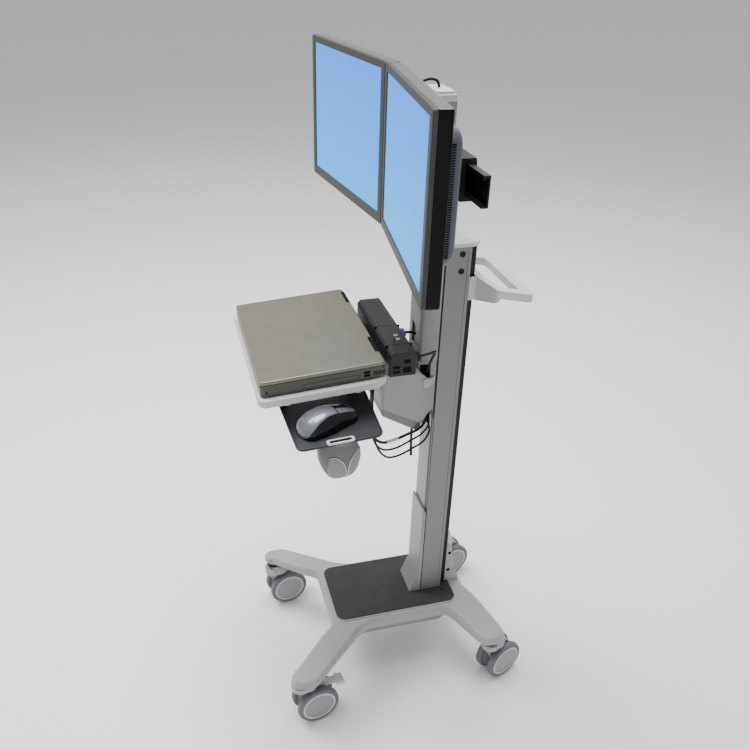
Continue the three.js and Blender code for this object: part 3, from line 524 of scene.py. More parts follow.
# Corners of the casting's right half, each (x, y, radius), from the rear round the outside to the front.
RIGHT_SIDE = [(40, 114, 30), (88, 132, 14), (180, 165, 20), (200, 163, 26), (211, 146, 14), (211, 112, 20),
              (196, 96, 14), (128, 62, 24), (104, 44, 24), (104, -150, 40), (122, -184, 24), (214, -288, 14),
              (228, -306, 14), (228, -344, 22), (216, -357, 12), (194, -357, 12), (184, -344, 10),
              (112, -268, 26), (88, -237, 20)]
BASE_TOP = 178
BASE_EDGES = [(2.4, 150), (0.6, 150.8), (0, 152.6), (0, 168.5), (0.7, 171), (4.6, 176), (6.4, 177.5),
              (8.8, BASE_TOP)]  # (inset, z) up the casting's side
LEVEL_HALF = 88  # the casting is level inside this x; its legs slope
TOP_DROP, UNDERSIDE_DROP = 28, 15  # how far the legs fall over their reach
BRACKET = [(67, 176), (67, 300), (70, 304), (76, 303), (82, 276), (98, 214), (107, 180), (108, 176)]
BRACKET_HALF = 22


def leg_reach(y):
    """Length in x of the sloping stretch of a front leg or a rear one."""
    return 140 if y < 0 else 123


def make_base():
    right = list(reversed(RIGHT_SIDE))
    left = [(-x, y, r) for x, y, r in RIGHT_SIDE]
    outline = fillet(right + left)
    bm = bmesh.new()
    slab(bm, lambda inset: offset(outline, inset), BASE_EDGES)
    for x in (-LEVEL_HALF, LEVEL_HALF):
        whole = bm.verts[:] + bm.edges[:] + bm.faces[:]
        bmesh.ops.bisect_plane(bm, geom=whole, plane_co=(x, 0, 0), plane_no=(1, 0, 0))
    bmesh.ops.triangulate(bm, faces=[f for f in bm.faces if len(f.verts) > 4])
    for v in bm.verts:
        drop = TOP_DROP if v.co.z > 160 else UNDERSIDE_DROP
        v.co.z -= drop / leg_reach(v.co.y) * max(0.0, abs(v.co.x) - LEVEL_HALF)
    for x, y, _ in CASTERS.values():
        top = BASE_TOP - TOP_DROP / leg_reach(y) * (abs(x) - LEVEL_HALF)
        add_turned(bm, [(-24, 0), (-24, 15), (-8, 15)], "z", (x, y, top), 40)
    add_prism(bm, BRACKET, "x", -BRACKET_HALF, BRACKET_HALF)
    finish_mesh(bm, "base_casting", "base", BASE, CART, ["base_frame"])
    # Black discs in the bracket's two holes: painted shade where one looks into them.
    bm = bmesh.new()
    for z in (216, 272):
        for side in (-1, 1):
            disc = [(0, 0), (0, 4.4), (0.5 * side, 4.4), (0.5 * side, 0)]
            add_turned(bm, disc, "x", (BRACKET_HALF * side, 77, z), 28)
    finish_mesh(bm, "bracket_holes", "base", HOLLOW_SHADE_AND_SEAM, CART)


def make_mat():
    border = lambda inset: rounded(-93, 93, -226, 80, 24, inset, 12)
    tread = lambda inset: rounded(-90.5, 90.5, -223.5, 77.5, 22, inset, 12)
    seam = [(44.5, 48.5), (79.5, 74.5), (78.5, 76), (43.5, 50)]
    bm = bmesh.new()
    slab(bm, border, edge_levels(176, 180.2, 0.6, 1.6))
    finish_mesh(bm, "mat_border", "base", BASE, CART)
    bm = bmesh.new()
    slab(bm, tread, edge_levels(177, 181.6, 0.4, 1.0))
    finish_mesh(bm, "mat_tread", "base", MAT, CART, ["foot_mat"], smooth=50)
    bm = bmesh.new()
    for s in (-1, 1):
        loft(bm, [[(s * x, y, z) for x, y in seam] for z in (181, 181.75)])
    finish_mesh(bm, "mat_seams", "base", HOLLOW_SHADE_AND_SEAM, CART)


# ---- casters ----
WHEEL_CENTRE = (0, 34, 50)  # in the caster's frame: its trail and its radius
WHEEL_GAP = 11  # from the fork's middle plane to each wheel's inner face
RUBBER, DISC, RING = range(3)  # material slots of a wheel

# (distance from the middle plane, radius) from the outer face's middle round the tread to the inner face.
WHEEL_PROFILE = [
    (28.4, 0), (28.2, 14), (27.4, 27), (27.0, 34.6), (27.6, 35.6), (28.9, 36.2), (29, 37.8), (28.7, 38.7),
    (28.2, 39.4), (28.0, 40.2), (28.6, 41), (28.3, 46), (26.6, 48.8), (24, 50), (16, 50), (13.4, 48.8),
    (11.6, 46), (11.2, 40), (11.0, 12), (11, 5.2), (WHEEL_GAP, 0)]
WHEEL_SLOTS = [DISC] * 4 + [RING] * 5 + [RUBBER] * 8 + [DISC] * 3
HOUSING_PROFILE = [(103.5, 0), (103.5, 22), (106, 24), (114, 24.6), (122, 24), (127, 22.4), (129, 20),
                   (129.4, 0)]


def make_caster(name):
    at = caster_frame(name)
    body = "wheels_" + name
    bm = bmesh.new()
    for s in (-1, 1):
        add_turned(bm, [(s * x, r) for x, r in WHEEL_PROFILE], "x", WHEEL_CENTRE, 72, WHEEL_SLOTS)
    axle = [(-WHEEL_GAP, 0), (-WHEEL_GAP, 5), (WHEEL_GAP, 5), (WHEEL_GAP, 0)]
    add_turned(bm, axle, "x", WHEEL_CENTRE, 32, [DISC] * 3)
    finish_mesh(bm, "wheels_turned_" + name, body, [TYRE, HUB, LIGHT], at, ["caster_wheels_" + name],
                smooth=28)
    refine("caster_fork_" + name, BASE, bevel=2.2, segments=4, angle=20)
    bm = bmesh.new()
    add_turned(bm, HOUSING_PROFILE, "z", (0, 15, 0), 56)
    finish_mesh(bm, "caster_housing_" + name, "caster_" + name, BASE, at)
    # A black band between the housing's top and the leg: painted shade in the gap between them.
    bm = bmesh.new()
    add_turned(bm, [(128, 0), (128, 15), (140, 15), (140, 0)], "z", (0, 0, 0), 40)
    finish_mesh(bm, "caster_gap_shade_" + name, "caster_" + name, HOLLOW_SHADE_AND_SEAM, at)
    if name.startswith("front"):
        refine("brake_lever_" + name, LIGHT, bevel=1.6, segments=3)


# ---- mast ----
SEAM_LOW, SEAM_HIGH = 184, 1076  # the extrusion's seam lines, from foot to cap
CAP_DOME = [(8, 1088.6), (14, 1090.6), (20, 1092.2), (26, 1093.2), (32, 1093.8)]
BOLT_HEAD = [(37, 0), (38.6, 0.1), (38.6, 6), (39.6, 6), (40.2, 5.4), (40.2, 3), (38.9, 2.8), (38.9, 0)]


def make_mast():
    refine("mast_extrusion", ALU, bevel=1.4, segments=4)
    refine("mast_rear_channel", BLACK, bevel=1.0)
    refine("front_shroud", SHROUD, bevel=1.6, segments=4)
    refine("lift_carriage", ALU, bevel=0.6)
    for node in ("guide_roller_lower", "guide_roller_upper"):
        refine(node, BLACK, bevel=0.5)
    refine("spring_drum", STEEL, bevel=0.5)
    refine("spring_strip", STEEL, bevel=0.1)
    bm = bmesh.new()
    for s in (-1, 1):
        x = (38.2, 38.62) if s > 0 else (-38.62, -38.2)
        add_box(bm, *x, -0.3, 1.0, SEAM_LOW, SEAM_HIGH)
        add_box(bm, *x, 44.6, 45.2, SEAM_LOW, SEAM_HIGH)
    finish_mesh(bm, "mast_seams", "base", HOLLOW_SHADE_AND_SEAM, CART)
    corners = [(-38.5, 0, 2), (38.5, 0, 2), (38.5, 60, 20), (20, 76, 30), (-20, 76, 30), (-38.5, 60, 20)]
    outline = fillet(corners, 8)
    bm = bmesh.new()
    levels = edge_levels(1078.3, 1087, 0.5, 4) + CAP_DOME
    slab(bm, lambda inset: scaled(outline, inset, (0, 36), 38.5), levels)
    finish_mesh(bm, "mast_cap_moulding", "base", LIGHT, CART, ["mast_cap"], smooth=50)
    for node, z in (("handle_bolt_lower", 1030), ("handle_bolt_upper", 1065)):
        bm = bmesh.new()
        for s in (-1, 1):
            add_turned(bm, [(s * x, r) for x, r in BOLT_HEAD], "x", (0, 33, z), 32)
        finish_mesh(bm, node + "_head", "base", BLACK_METAL, CART, [node])


def scaled(outline, inset, centre, reach):
    """Shrinks an outline towards a centre so that its widest point moves in by inset."""
    k = 1 - inset / reach
    return [(centre[0] + (x - centre[0]) * k, centre[1] + (y - centre[1]) * k) for x, y in outline]


HANDLE_OUTER = [(-38.5, 67, 1), (38.5, 67, 1), (104, 85, 14), (109, 161, 13), (-109, 161, 13),
                (-104, 85, 14)]
HANDLE_INNER = [(-30, 86, 3), (30, 86, 3), (82, 99, 10), (85, 137, 8), (-85, 137, 8), (-82, 99, 10)]
HANDLE_START = 67  # y of the face that meets the mast
HANDLE_TOP, HANDLE_FALL, HANDLE_THICK = 1016, 0.2, 17
WEB_LOW, WEB_RISE, WEB_END = 965, 1.05, 92  # the webs deepen towards the mast


def handle_top(y):
    return HANDLE_TOP - HANDLE_FALL * (y - HANDLE_START)


def handle_low(y):
    grip = handle_top(y) - HANDLE_THICK
    return min(grip, WEB_LOW + (y - HANDLE_START) * WEB_RISE) if y < WEB_END else grip


def make_handle():
    outer, inner = fillet(HANDLE_OUTER, 8), fillet(HANDLE_INNER, 8)
    bm = bmesh.new()
    loft(bm, [[(x, y, height(y)) for x, y in outline] for outline, height in (
        (outer, handle_top), (outer, handle_low), (inner, handle_low), (inner, handle_top))], closed=True)
    finish_mesh(bm, "push_handle_casting", "base", LIGHT, CART, ["push_handle"],
                bevel=3.2, segments=4, angle=40)
    foot_low, foot_high = 966, 1013
    bm = bmesh.new()
    add_box(bm, -38.2, 38.2, 66.9, 72, foot_low, foot_high)
    for a, b in ((29, 38.2), (-38.2, -29)):
        add_box(bm, a, b, 52.4, 68, foot_low, foot_high)
    finish_mesh(bm, "push_handle_foot", "base", LIGHT, CART, bevel=1.5)


# ---- riser and arm ----
# The arm's flank turns in along FLANK_ALONG from FLANK_START, with FLANK_OUT pointing away from it.
FLANK_START = (38.5, -8)
FLANK_ALONG, FLANK_OUT = (0.583, -0.813), (0.813, 0.583)
TAB_OUTLINE = [(38, 806, 3), (38, 792, 9), (28, 782, 8), (2, 782, 5), (-3, 788, 4), (-3, 800, 3),
               (12, 800, 3), (27, 806, 5)]  # (along the flank, z, radius)
# Outline (y, z) of the black fill in the arm's cable notch: painted shade in the opening.
NOTCH_SHADE_OUTLINE = [(-26, 686), (-26, 700), (-22, 711), (-14, 718), (-9.5, 719), (-9.5, 686)]
CLAMP_BACK = 72  # from a display's front back to its clamp


def flank_point(s, along, out, z):
    return (s * (FLANK_START[0] + FLANK_ALONG[0] * along + FLANK_OUT[0] * out),
            FLANK_START[1] + FLANK_ALONG[1] * along + FLANK_OUT[1] * out, z)


def make_riser():
    refine("riser_cover", ALU, bevel=1.0, angle=40)
    refine("riser_cap", LIGHT, bevel=1.2, angle=40)
    refine("tray_arm", ARM, bevel=2.4, segments=4)
    refine("arm_lower_cover", ARM_DARK, bevel=1.6, segments=3)
    for s, side in ((1, "right"), (-1, "left")):
        # A black box on the flank above the tab: painted shade in the slot's opening.
        bm = bmesh.new()
        add_prism(bm, [(-39, 800), (-17, 800), (-17, 829), (-39, 829)], "x", *sorted((s * 37, s * 38.8)))
        finish_mesh(bm, "arm_slot_" + side, "lift", HOLLOW_SHADE_AND_SEAM, CART)
        # The flat tab takes a paler grey: painted highlight of a scoop in the cover lit from above.
        bm = bmesh.new()
        loft(bm, [[flank_point(s, along, out, z) for along, z in fillet(TAB_OUTLINE, 4)] for out in (-2, 2.4)])
        finish_mesh(bm, "arm_tab_" + side, "lift", ARM_TAB_HIGHLIGHT, CART, bevel=1.2)
    # A black fill across the cable notch: painted shade in the opening.
    bm = bmesh.new()
    add_prism(bm, NOTCH_SHADE_OUTLINE, "x", -36.5, 36.5)
    finish_mesh(bm, "arm_cable_notch", "lift", HOLLOW_SHADE_AND_SEAM, CART)
    bm = bmesh.new()
    add_turned(bm, [(0, 0), (0, 6), (1, 7), (6, 7), (14, 7)], "z", (46, -84, 704), 28)
    finish_mesh(bm, "arm_cover_knob", "lift", BLACK, CART)
    refine("crossbar", BLACK_METAL, bevel=0.8)
    for s, side in ((-1, "left"), (1, "right")):
        middle = s * (REACH * math.cos(YAW) + CLAMP_BACK * math.sin(YAW)) * MM

        def shorten(v):
            """Draws the ends of the CAD's long clamp in to those of the real one; its top block is shorter."""
            if abs(v.co.x - middle) > 50 * MM:
                v.co.x = middle + math.copysign((30 if v.co.z > 1.29 else 36) * MM, v.co.x - middle)

        refine("display_slider_" + side, BLACK_METAL, bevel=1.6, adjust=shorten)
        refine("display_head_" + side, BLACK_METAL, bevel=0.8)


# (inset, z) round the worksurface's edge, from underneath over the lip to the sunk top.
WORKSURFACE_EDGES = [(9, -18), (3.6, -17.2), (1.0, -15), (0, -12.4), (0, -3.4), (0.5, -1.5), (1.7, -0.4),
                     (3.2, 0), (9.6, 0), (10.4, -0.5), (11.2, -1.3), (12, -1.5)]
RAIL_YS = (-72, 62)  # the mouse tray's rails under the worksurface


def make_tray():
    plan = lambda inset: rounded(-190, 190, -126, 119, [16, 16, 34, 34], inset, 12)
    bm = bmesh.new()
    slab(bm, plan, WORKSURFACE_EDGES)
    for y in RAIL_YS:
        add_box(bm, -172, 172, y - 4, y + 4, -28, -17.5)
    finish_mesh(bm, "worksurface_moulding", "lift", LIGHT, TRAY, ["worksurface_tray"],
                smooth=40)


# ---- laptop ----
KEY_PITCH, KEY = 19, 17
KEYS_LEFT, KEYS_BACK = -122, 86
BOTTOM_ROW = [(-122, 56), (-64, 18), (-44, 102), (60, 18), (80, 18), (100, 18), (120, 18)]


def key_row(row):
    """(x, width) of each key: the first one widens from row to row and pushes the rest along."""
    if row == 5:
        return BOTTOM_ROW
    widening = row * 5
    return [(KEYS_LEFT, KEY + widening)] + [
        (KEYS_LEFT + KEY_PITCH + widening + KEY_PITCH * (i - 1), KEY) for i in range(1, 13)]


def make_laptop():
    x0, x1 = -158.5, 178.5
    plan = lambda inset: rounded(x0, x1, -119, 113, 8, inset)
    refine("laptop_base", LAPTOP_BASE, bevel=0.9, angle=50)
    bm = bmesh.new()
    slab(bm, plan, edge_levels(19.2, 24.4, 0.4, 0.9))
    finish_mesh(bm, "laptop_deck", "lift", LAPTOP_BASE, TRAY)
    bm = bmesh.new()
    slab(bm, plan, edge_levels(25, 32, 0.9, 2.6, 5))
    finish_mesh(bm, "laptop_lid_shell", "laptop_lid", LAPTOP, TRAY, ["laptop_lid"])
    for i, (a, b) in enumerate(((-142, -86), (76, 138))):
        # Black boxes in the lid's hinge notches: painted shade behind the hinge covers.
        bm = bmesh.new()
        add_box(bm, a, b, 105.6, 113.3, 25.2, 32.15)
        finish_mesh(bm, f"lid_notch_{i + 1}", "laptop_lid", HOLLOW_SHADE_AND_SEAM, TRAY, bevel=0.4)
        bm = bmesh.new()
        add_prism(bm, circle(110.6, 29.4, 2.7, 20), "x", a + 10, b - 3)
        finish_mesh(bm, f"lid_hinge_cover_{i + 1}", "laptop_lid", LAPTOP, TRAY, bevel=0.4)
    # inside: keys and touchpad on the deck, glass in the lid
    bm = bmesh.new()
    for row in range(6):
        y = KEYS_BACK - row * KEY_PITCH
        for x, w in key_row(row):
            add_box(bm, x, x + w, y - KEY if row else y - 12, y, 24.0, 24.85)
    finish_mesh(bm, "laptop_keys", "lift", BLACK, TRAY, bevel=0.25, segments=2)
    bm = bmesh.new()
    slab(bm, lambda inset: rounded(-30, 42, -92, -42, 4, inset), edge_levels(24.0, 24.7, 0.2, 0.3))
    finish_mesh(bm, "laptop_touchpad", "lift", LAPTOP, TRAY)
    bm = bmesh.new()
    slab(bm, lambda inset: rounded(-143, 163, -108, 92, 2, inset), edge_levels(24.9, 25.4, 0.1, 0.1))
    finish_mesh(bm, "laptop_lid_glass", "laptop_lid", MOUSE_BLACK, TRAY)
    refine("optical_drive", LAPTOP_BASE, bevel=0.5)
    # sockets, lock hole and vents stand just proud of the shell, black as painted shade in their openings
    bm = bmesh.new()
    for y0, y1, z0, z1 in ((72, 84, 7, 12), (72, 84, 13.6, 18.6), (-109, -106, 8, 12)):
        add_box(bm, x1 - 1, x1 + 0.35, y0, y1, z0, z1)
    for i in range(9):
        add_box(bm, x1 - 1, x1 + 0.3, 90 + i * 2.6, 91.4 + i * 2.6, 7, 16)
    for i in range(14):
        add_box(bm, x0 - 0.3, x0 + 1, 20 + i * 5, 22.6 + i * 5, 6, 16)
    add_box(bm, -60, 80, 118.4, 119.3, 6, 17)
    finish_mesh(bm, "laptop_ports", "lift", HOLLOW_SHADE_AND_SEAM, TRAY, bevel=0.2, segments=2)
    bm = bmesh.new()
    for x in (-105, 125):
        add_prism(bm, circle(113.2, 20.4, 4.1, 24), "x", x - 21, x + 21)
    finish_mesh(bm, "laptop_hinges", "lift", BLACK, TRAY, bevel=0.5)


# ---- dock ----
BUTTON_PROFILE = [(-5, 0), (-5, 5), (1.2, 5), (1.8, 4.6), (2.0, 3.6), (1.6, 1.5), (1.5, 0)]
END_PORTS = [(-132, -118, 880, 886), (-132, -118, 890, 896), (-112, -96, 880, 892), (-110, -98, 900, 908)]


def make_dock():
    refine("dock_body", DOCK, bevel=2.2, segments=4)
    for node, x in (("dock_button_power", 76), ("dock_button_eject", 92)):
        bm = bmesh.new()
        add_turned(bm, BUTTON_PROFILE, "z", (x, -108, 924), 32)
        finish_mesh(bm, node + "_cap", node, SILVER, CART, [node])
    # Black seam lines across the dock, which are joints, and black patches for its end ports and plug sockets:
    # painted shade in those openings.
    bm = bmesh.new()
    for x in (30, 112):
        add_box(bm, x - 0.5, x + 0.5, -138.25, -85.75, 876, 924.2)
    for y0, y1, z0, z1 in END_PORTS:
        add_box(bm, 144, 145.3, y0, y1, z0, z1)
    add_box(bm, -90, 130, -86.4, -85.7, 884, 910)
    finish_mesh(bm, "dock_seams_and_ports", "lift", HOLLOW_SHADE_AND_SEAM, CART, bevel=0.15, segments=2)
    for name, x, z, m in (("dock_plug_video", 20, 900, PLUG_BLUE), ("dock_plug_power", 118, 897, BLACK)):
        bm = bmesh.new()
        slab(bm, lambda inset: rounded(x - 11, x + 11, z - 6, z + 6, 3, inset), edge_levels(-86, -70, 0.5, 3))
        swap_y_z(bm)
        finish_mesh(bm, name, "lift", m, CART)


# ---- mouse tray, cup and mouse ----
MOUSE_TRAY_X0, MOUSE_TRAY_X1 = 60, 262
MOUSE_TRAY_Y0, MOUSE_TRAY_Y1 = -83, 92
MOUSE_TRAY_EDGES = [(5, -73), (1.2, -72.6), (0, -71), (0, -68.4), (0.9, -67.3), (2.0, -67), (3.2, -67.5),
                    (4.2, -69.3), (5.4, -70)]  # (inset, z) from underneath over the rim
TAPER = 0.09  # how much narrower the tray is at its outer end


def taper_mouse_tray(bm):
    middle = (MOUSE_TRAY_Y0 + MOUSE_TRAY_Y1) / 2
    for v in bm.verts:
        along = (v.co.x - MOUSE_TRAY_X0) / (MOUSE_TRAY_X1 - MOUSE_TRAY_X0)
        v.co.y = middle + (v.co.y - middle) * (1 - TAPER * along)


def make_mouse_tray():
    plan = lambda inset: rounded(MOUSE_TRAY_X0, MOUSE_TRAY_X1, MOUSE_TRAY_Y0, MOUSE_TRAY_Y1, [4, 16, 16, 4],
                                 inset, 10)
    bm = bmesh.new()
    slab(bm, plan, MOUSE_TRAY_EDGES)
    taper_mouse_tray(bm)
    finish_mesh(bm, "mouse_tray_moulding", "mouse_tray", CHARCOAL, TRAY, ["mouse_tray"],
                smooth=45)
    bm = bmesh.new()
    for y in RAIL_YS:
        add_box(bm, 68, 108, y - 8, y - 4.6, -71.5, -19)
        add_box(bm, 68, 108, y + 4.6, y + 8, -71.5, -19)
        add_box(bm, 68, 108, y - 8, y + 8, -71.5, -28.6)
    finish_mesh(bm, "mouse_tray_hangers", "mouse_tray", CHARCOAL, TRAY, bevel=0.6)
    loop = fillet([(250, -21, 5), (265, -21, 5), (265, 30, 5), (250, 30, 5)], 6)
    hole = fillet([(253.2, -16, 3), (261, -16, 3), (261, 25, 3), (253.2, 25, 3)], 6)
    bm = bmesh.new()
    clip_top, clip_low = -64.6, -67.2
    loft(bm, [[(x, y, z) for x, y in outline] for outline, z in (
        (loop, clip_top), (loop, clip_low), (hole, clip_low), (hole, clip_top))], closed=True)
    finish_mesh(bm, "mouse_tray_clip", "mouse_tray", LIGHT, TRAY, bevel=0.9, segments=4,
                angle=40)
    # A black fill in the clip's slot: painted shade in the opening.
    bm = bmesh.new()
    add_box(bm, 252, 262, -17, 26, -67.3, -66.3)
    finish_mesh(bm, "mouse_tray_clip_slot", "mouse_tray", HOLLOW_SHADE_AND_SEAM, TRAY, bevel=0.3, segments=2)
    make_cup()


# Outlines (y, z) of the raised petals on the cup's outer face, the free edge first.
PETALS = ([(-19, -103), (-9, -102), (3, -112), (9, -126), (11.5, -153), (-8, -156), (-22, -146), (-25, -128)],
          [(14, -153), (15, -131), (21, -113), (36, -95), (46, -98), (46, -125), (36, -148), (20, -156)])


FREE_EDGE_POINTS = (5, 4)  # how many points of each petal are its free edge


def inside(outline, u, v):
    """Whether (u, v) lies in a closed outline, by counting the edges to its side."""
    hit = False
    for (a, b), (c, d) in zip(outline, outline[1:] + outline[:1]):
        if (b > v) != (d > v) and u < a + (v - b) * (c - a) / (d - b):
            hit = not hit
    return hit


# The cup's half length along Y and half width along X at each height, as (z, along, across).
CUP_STATIONS = [(-156, 15, 12), (-154.5, 19, 15), (-151, 23, 18), (-145, 28, 20), (-137, 32.5, 21.5),
                (-127, 36, 22), (-117, 38.5, 22.5), (-107, 39, 22.5), (-97, 38, 22), (-88, 35.5, 21),
                (-80, 32.5, 20), (-73, 30, 19)]
CUP_LOW, CUP_HEIGHT = -156, 83
CUP_X, CUP_Y = 234, 3
CUP_POWER = 0.62  # below 1 the oval section grows squarer
CUP_WALL, PETAL_LIFT = 3, 1.3
FACE_X = 240  # the outer face, which carries the petals, starts here


def cup_shape(z):
    for (z0, a0, b0), (z1, a1, b1) in zip(CUP_STATIONS, CUP_STATIONS[1:]):
        if z0 <= z <= z1:
            t = (z - z0) / (z1 - z0)
            return a0 + (a1 - a0) * t, b0 + (b1 - b0) * t
    return CUP_STATIONS[-1][1:]


def cup_point(a, z, wall=0.0, lift=0.0):
    along, across = cup_shape(z)
    u, v = math.cos(a), math.sin(a)
    return (CUP_X + (across - wall + lift) * math.copysign(abs(v) ** CUP_POWER, v),
            CUP_Y + (along - wall + lift) * math.copysign(abs(u) ** CUP_POWER, u), z)


def on_petal(x, y, z):
    return x > FACE_X and any(inside(petal, y, z) for petal in PETALS)


def make_cup():
    steps, n = 40, 96
    zs = [CUP_LOW + CUP_HEIGHT * i / steps for i in range(steps + 1)]
    turn = [2 * math.pi * i / n for i in range(n)]
    bm = bmesh.new()
    outer = lambda a, z: cup_point(a, z, lift=PETAL_LIFT if on_petal(*cup_point(a, z)) else 0.0)
    loops = [[outer(a, z) for a in turn] for z in zs]
    loops += [[cup_point(a, z, wall=CUP_WALL) for a in turn] for z in reversed(zs[3:])]
    loft(bm, loops)
    for face in bm.faces:
        if on_petal(*face.calc_center_median()):
            face.material_index = 1
    finish_mesh(bm, "cup_pocket", "mouse_tray", [ARM_DARK, ARM], TRAY, ["holder_cup"],
                smooth=50)
    for index, (petal, count) in enumerate(zip(PETALS, FREE_EDGE_POINTS)):
        route = []
        for y, z in smooth_flat(petal[:count]):
            along, across = cup_shape(z)
            u = min(0.98, abs(y - CUP_Y) / along)
            v = (1 - u ** (2 / CUP_POWER)) ** (CUP_POWER / 2)
            route.append(Vector((CUP_X + across * v + 1.2, y, z)))
        bm = bmesh.new()
        sweep(bm, route, circle(0, 0, 1.1, 10))
        finish_mesh(bm, f"cup_petal_rim_{index + 1}", "mouse_tray", LIGHT, TRAY,
                    smooth=60)
    hook = [(234, -75), (264.5, -75), (264.5, -66.4), (262.6, -66.4), (262.6, -73.6), (234, -73.6)]
    bm = bmesh.new()
    add_prism(bm, hook, "y", -6, 22)
    finish_mesh(bm, "cup_hook", "mouse_tray", ARM_DARK, TRAY, bevel=0.5)


def smooth_flat(points):
    return [(p.x, p.y) for p in smooth_path([(u, v, 0) for u, v in points], 8)]


# The height of the mouse's back at stations from its heel to its nose, as (y, height).
MOUSE_HEIGHTS = [(-60, 14), (-54, 23), (-44, 31), (-30, 36.2), (-12, 38), (4, 36.8), (14, 34.6), (30, 29.6),
                 (46, 24), (60, 19)]
MOUSE_HALF = 60
KEY_LINE = 14.3  # y at which the two keys start
KEY_GAP = 5.0  # half the gap that the wheel stands in
SIDE_STEPS, COVER_STEPS = 12, 16  # points on each black side, and over the silver cover


def mouse_point(y, a, drop=0.0):
    """Point of the mouse's skin at station y and angle a, from the right side over the top to the left."""
    for (y0, h0), (y1, h1) in zip(MOUSE_HEIGHTS, MOUSE_HEIGHTS[1:]):
        if y0 <= y <= y1:
            t = (y - y0) / (y1 - y0)
            t = t * t * (3 - 2 * t) * 0.3 + t * 0.7
            height = h0 + (h1 - h0) * t
    s = abs(y) / 60.01
    round_off = (1 - s ** 7) ** 0.5
    waist = 0 if y < 0 else 5.5 * (y / MOUSE_HALF) ** 1.2
    pinch = 0 if y < 0 else 2.5 * math.sin(math.pi * min(1, y / 55))
    width = (31.5 - waist - pinch) * round_off
    height *= (1 - s ** 9) ** 0.42
    u, v = math.cos(a), math.sin(a)
    return (max(width - drop, 0.2) * math.copysign(abs(u) ** 0.8, u), y,
            max(height - drop, 0.2) * abs(v) ** 0.72)


def cover_edge(y):
    """The angle at which the silver cover starts at station y; it reaches lower towards the nose."""
    return math.acos((0.97 - 0.36 * max(0.0, min(1.0, (y + 54) / 50)) ** 0.8) ** 1.25)


def make_mouse():
    stations = [-MOUSE_HALF * math.cos(math.pi * k / 44) for k in range(45)]
    bm = bmesh.new()
    loops = []
    for y in stations:
        edge = cover_edge(y)
        angles = [edge * k / SIDE_STEPS for k in range(SIDE_STEPS)]
        angles += [edge + (math.pi - 2 * edge) * k / COVER_STEPS for k in range(COVER_STEPS + 1)]
        angles += [math.pi - edge * k / SIDE_STEPS for k in range(SIDE_STEPS - 1, -1, -1)]
        loop = []
        for k, a in enumerate(angles):
            cover = SIDE_STEPS < k < SIDE_STEPS + COVER_STEPS
            under_keys = cover and KEY_LINE < y < 58
            loop.append(mouse_point(y, a, 1.6 if under_keys else (0.0 if cover else 0.4)))
        loops.append(loop)
    loft(bm, loops)
    for face in bm.faces:
        c = face.calc_center_median()
        if len(face.verts) == 4 and c.y < KEY_LINE and c.z > 2:
            y = max(-59.9, c.y)
            edge_x, _, edge_z = mouse_point(y, cover_edge(y))
            if abs(c.x) < abs(edge_x) and c.z > edge_z - 0.6:
                face.material_index = 1
    finish_mesh(bm, "mouse_shell", "mouse_tray", [MOUSE_BLACK, SILVER], MOUSE, ["mouse_body"],
                smooth=60)
    rows = [15.0 + (57.4 - 15.0) * k / 18 for k in range(19)]
    for name, side, a0, a1 in (("right", 1, 56, 83), ("left", -1, 97, 124)):
        bm = bmesh.new()
        loops = []
        for row in rows:
            top = [mouse_point(row, rad(a0 + (a1 - a0) * k / 12)) for k in range(13)]
            top = [(side * max(side * x, KEY_GAP), y, z) for x, y, z in top]
            loops.append(top + [(x * 0.985, y, z - 1.2) for x, y, z in reversed(top)])
        loft(bm, loops)
        finish_mesh(bm, "mouse_key_" + name, "mouse_button_" + name, SILVER, MOUSE,
                    ["mouse_button_" + name], smooth=50)
    wheel = [(-3.6, 0), (-3.6, 8.2), (-2.8, 9.2), (2.8, 9.2), (3.6, 8.2), (3.6, 0)]
    bm = bmesh.new()
    add_turned(bm, wheel, "x", (0, 34, 21.5), 48)
    finish_mesh(bm, "mouse_wheel_rim", "mouse_wheel", BLACK, MOUSE, ["mouse_wheel"])


# ---- displays ----
# Each list holds (inset, y) steps of an outline, y running back from the display's front.
FRAME_OUTSIDE = [(0.8, 8.0), (0, 7.6), (0, 2.2), (0.6, 0.7), (2.2, 0)]
FRAME_INSIDE = [(-1.0, 0), (0, 0.8), (0.6, 3.2)]
RIM_STEPS = [(0.6, 8.1), (0, 8.8), (0, 26), (1.2, 29), (4, 30)]
BULGE_STEPS = [(-3, 29), (0, 30.5), (0.6, 40), (2.4, 46), (6, 51), (11, 54.6), (18, 56.6), (26, 57)]
VENT_PROFILE = [(150, 34), (160.15, 34), (159.7, 40), (158.9, 43.5), (150, 43.5)]
SCREW_PROFILE = [(0, 0), (0, 4.5), (1.8, 4.5), (2.3, 3.8), (2.3, 2), (1.2, 1.8), (1.2, 0)]


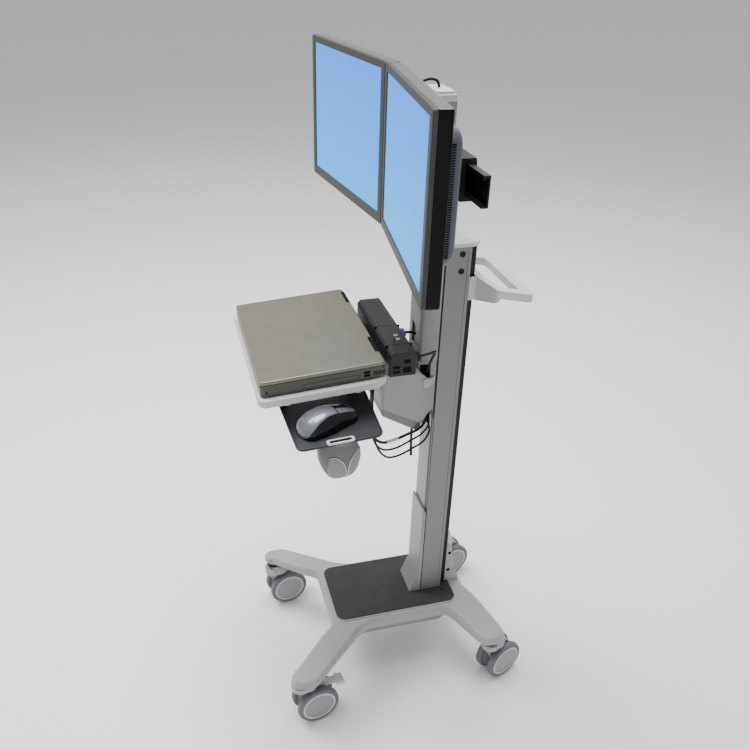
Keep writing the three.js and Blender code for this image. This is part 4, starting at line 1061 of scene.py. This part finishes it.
def make_display(side):
    name = "right" if side > 0 else "left"
    at = display_frame(side)
    body = "display_" + name
    rim = lambda inset: rounded(-191.5, 191.5, -142.5, 142.5, 6, inset)
    window = lambda inset: rounded(-174.5, 174.5, -123.5, 129.5, 1.2, inset)
    bulge = lambda inset: rounded(-160, 160, -96, 110, 30, inset, 12)
    bm = bmesh.new()
    loft(bm, [[(x, y, z) for x, y in outline(inset)] for outline, steps in (
        (rim, FRAME_OUTSIDE), (window, FRAME_INSIDE)) for inset, z in steps], closed=True)
    swap_y_z(bm)
    finish_mesh(bm, "display_frame_" + name, body, BEZEL, at, ["display_bezel_" + name])
    bm = bmesh.new()
    add_box(bm, -174.2, 174.2, 2.4, 8, -123.2, 129.2)
    finish_mesh(bm, "display_screen_" + name, body, screen_material("screen_" + name), at,
                ["display_panel_" + name])
    bm = bmesh.new()
    slab(bm, rim, RIM_STEPS)
    swap_y_z(bm)
    # The front part of the rim's top takes the paler grey: painted sheen of the top light on black plastic.
    for face in bm.faces:
        middle = face.calc_center_median()
        if middle.z > 141 and middle.y < 28:
            face.material_index = 1
    finish_mesh(bm, "display_rim_" + name, body, [RIM_BLACK, RIM_TOP_SHEEN], at,
                ["display_back_" + name], smooth=34)
    bm = bmesh.new()
    slab(bm, bulge, BULGE_STEPS)
    swap_y_z(bm)
    finish_mesh(bm, "display_bulge_" + name, body, COVER, at, smooth=40)
    # Black slots on the bulge's sides and along its top and bottom: painted shade in the vent openings.
    bm = bmesh.new()
    for s in (-1, 1):
        for i in range(46):
            z = -74 + i * 3.6
            loft(bm, [[(s * x, y, height) for x, y in VENT_PROFILE] for height in (z, z + 1.9)])
    for i in range(60):
        x = -118 + i * 4
        add_box(bm, x, x + 2, 32, 41, 106, 110.15)
        add_box(bm, x, x + 2, 32, 41, -96.15, -93)
    finish_mesh(bm, "display_vents_" + name, body, HOLLOW_SHADE_AND_SEAM, at)
    bm = bmesh.new()
    for x in (-50, 50):
        for z in (-50, 50):
            add_turned(bm, SCREW_PROFILE, "y", (x, 60.3, z), 24)
    finish_mesh(bm, "display_screws_" + name, body, STEEL, at)


# ---- studio ----
FLOOR_HALF = 30000
AIM = Vector((0, 0, 0.8))
LIGHTS = (("key", (-1.4, -1.9, 3.5), 1.6, 95), ("fill", (3.0, -0.4, 1.2), 2.0, 5),
          ("top", (-0.3, -0.2, 3.8), 2.0, 150), ("back", (-2.2, 2.0, 2.8), 1.6, 30))  # place, size, watts


def make_studio():
    bm = bmesh.new()
    add_box(bm, -FLOOR_HALF, FLOOR_HALF, -FLOOR_HALF, FLOOR_HALF, -20, 0)
    mesh = bpy.data.meshes.new("floor")
    bmesh.ops.recalc_face_normals(bm, faces=bm.faces)
    bm.to_mesh(mesh)
    bm.free()
    mesh.transform(Matrix.Scale(MM, 4))
    floor = bpy.data.objects.new("floor", mesh)
    bpy.context.scene.collection.objects.link(floor)
    m = bpy.data.materials.new("floor")
    m.use_nodes = True
    bsdf = m.node_tree.nodes["Principled BSDF"]
    bsdf.inputs["Base Color"].default_value = (0.95, 0.95, 0.95, 1)
    bsdf.inputs["Roughness"].default_value = 0.9
    mesh.materials.append(m)
    world = bpy.data.worlds.new("world")
    bpy.context.scene.world = world
    world.use_nodes = True
    background = world.node_tree.nodes["Background"]
    background.inputs["Color"].default_value = (0.96, 0.98, 1.0, 1)
    background.inputs["Strength"].default_value = 0.55
    for name, place, size, power in LIGHTS:
        data = bpy.data.lights.new(name, "AREA")
        data.size = size
        data.energy = power
        light = bpy.data.objects.new(name, data)
        light.location = place
        light.rotation_euler = (AIM - Vector(place)).to_track_quat("-Z", "Y").to_euler()
        bpy.context.scene.collection.objects.link(light)


make_base()
make_mat()
refine("ballast_plate", ARM, bevel=2.5, segments=4)
for caster in CASTERS:
    make_caster(caster)
make_mast()
make_handle()
make_riser()
make_tray()
make_laptop()
make_dock()
make_mouse_tray()
make_mouse()
for side in (1, -1):
    make_display(side)
make_studio()
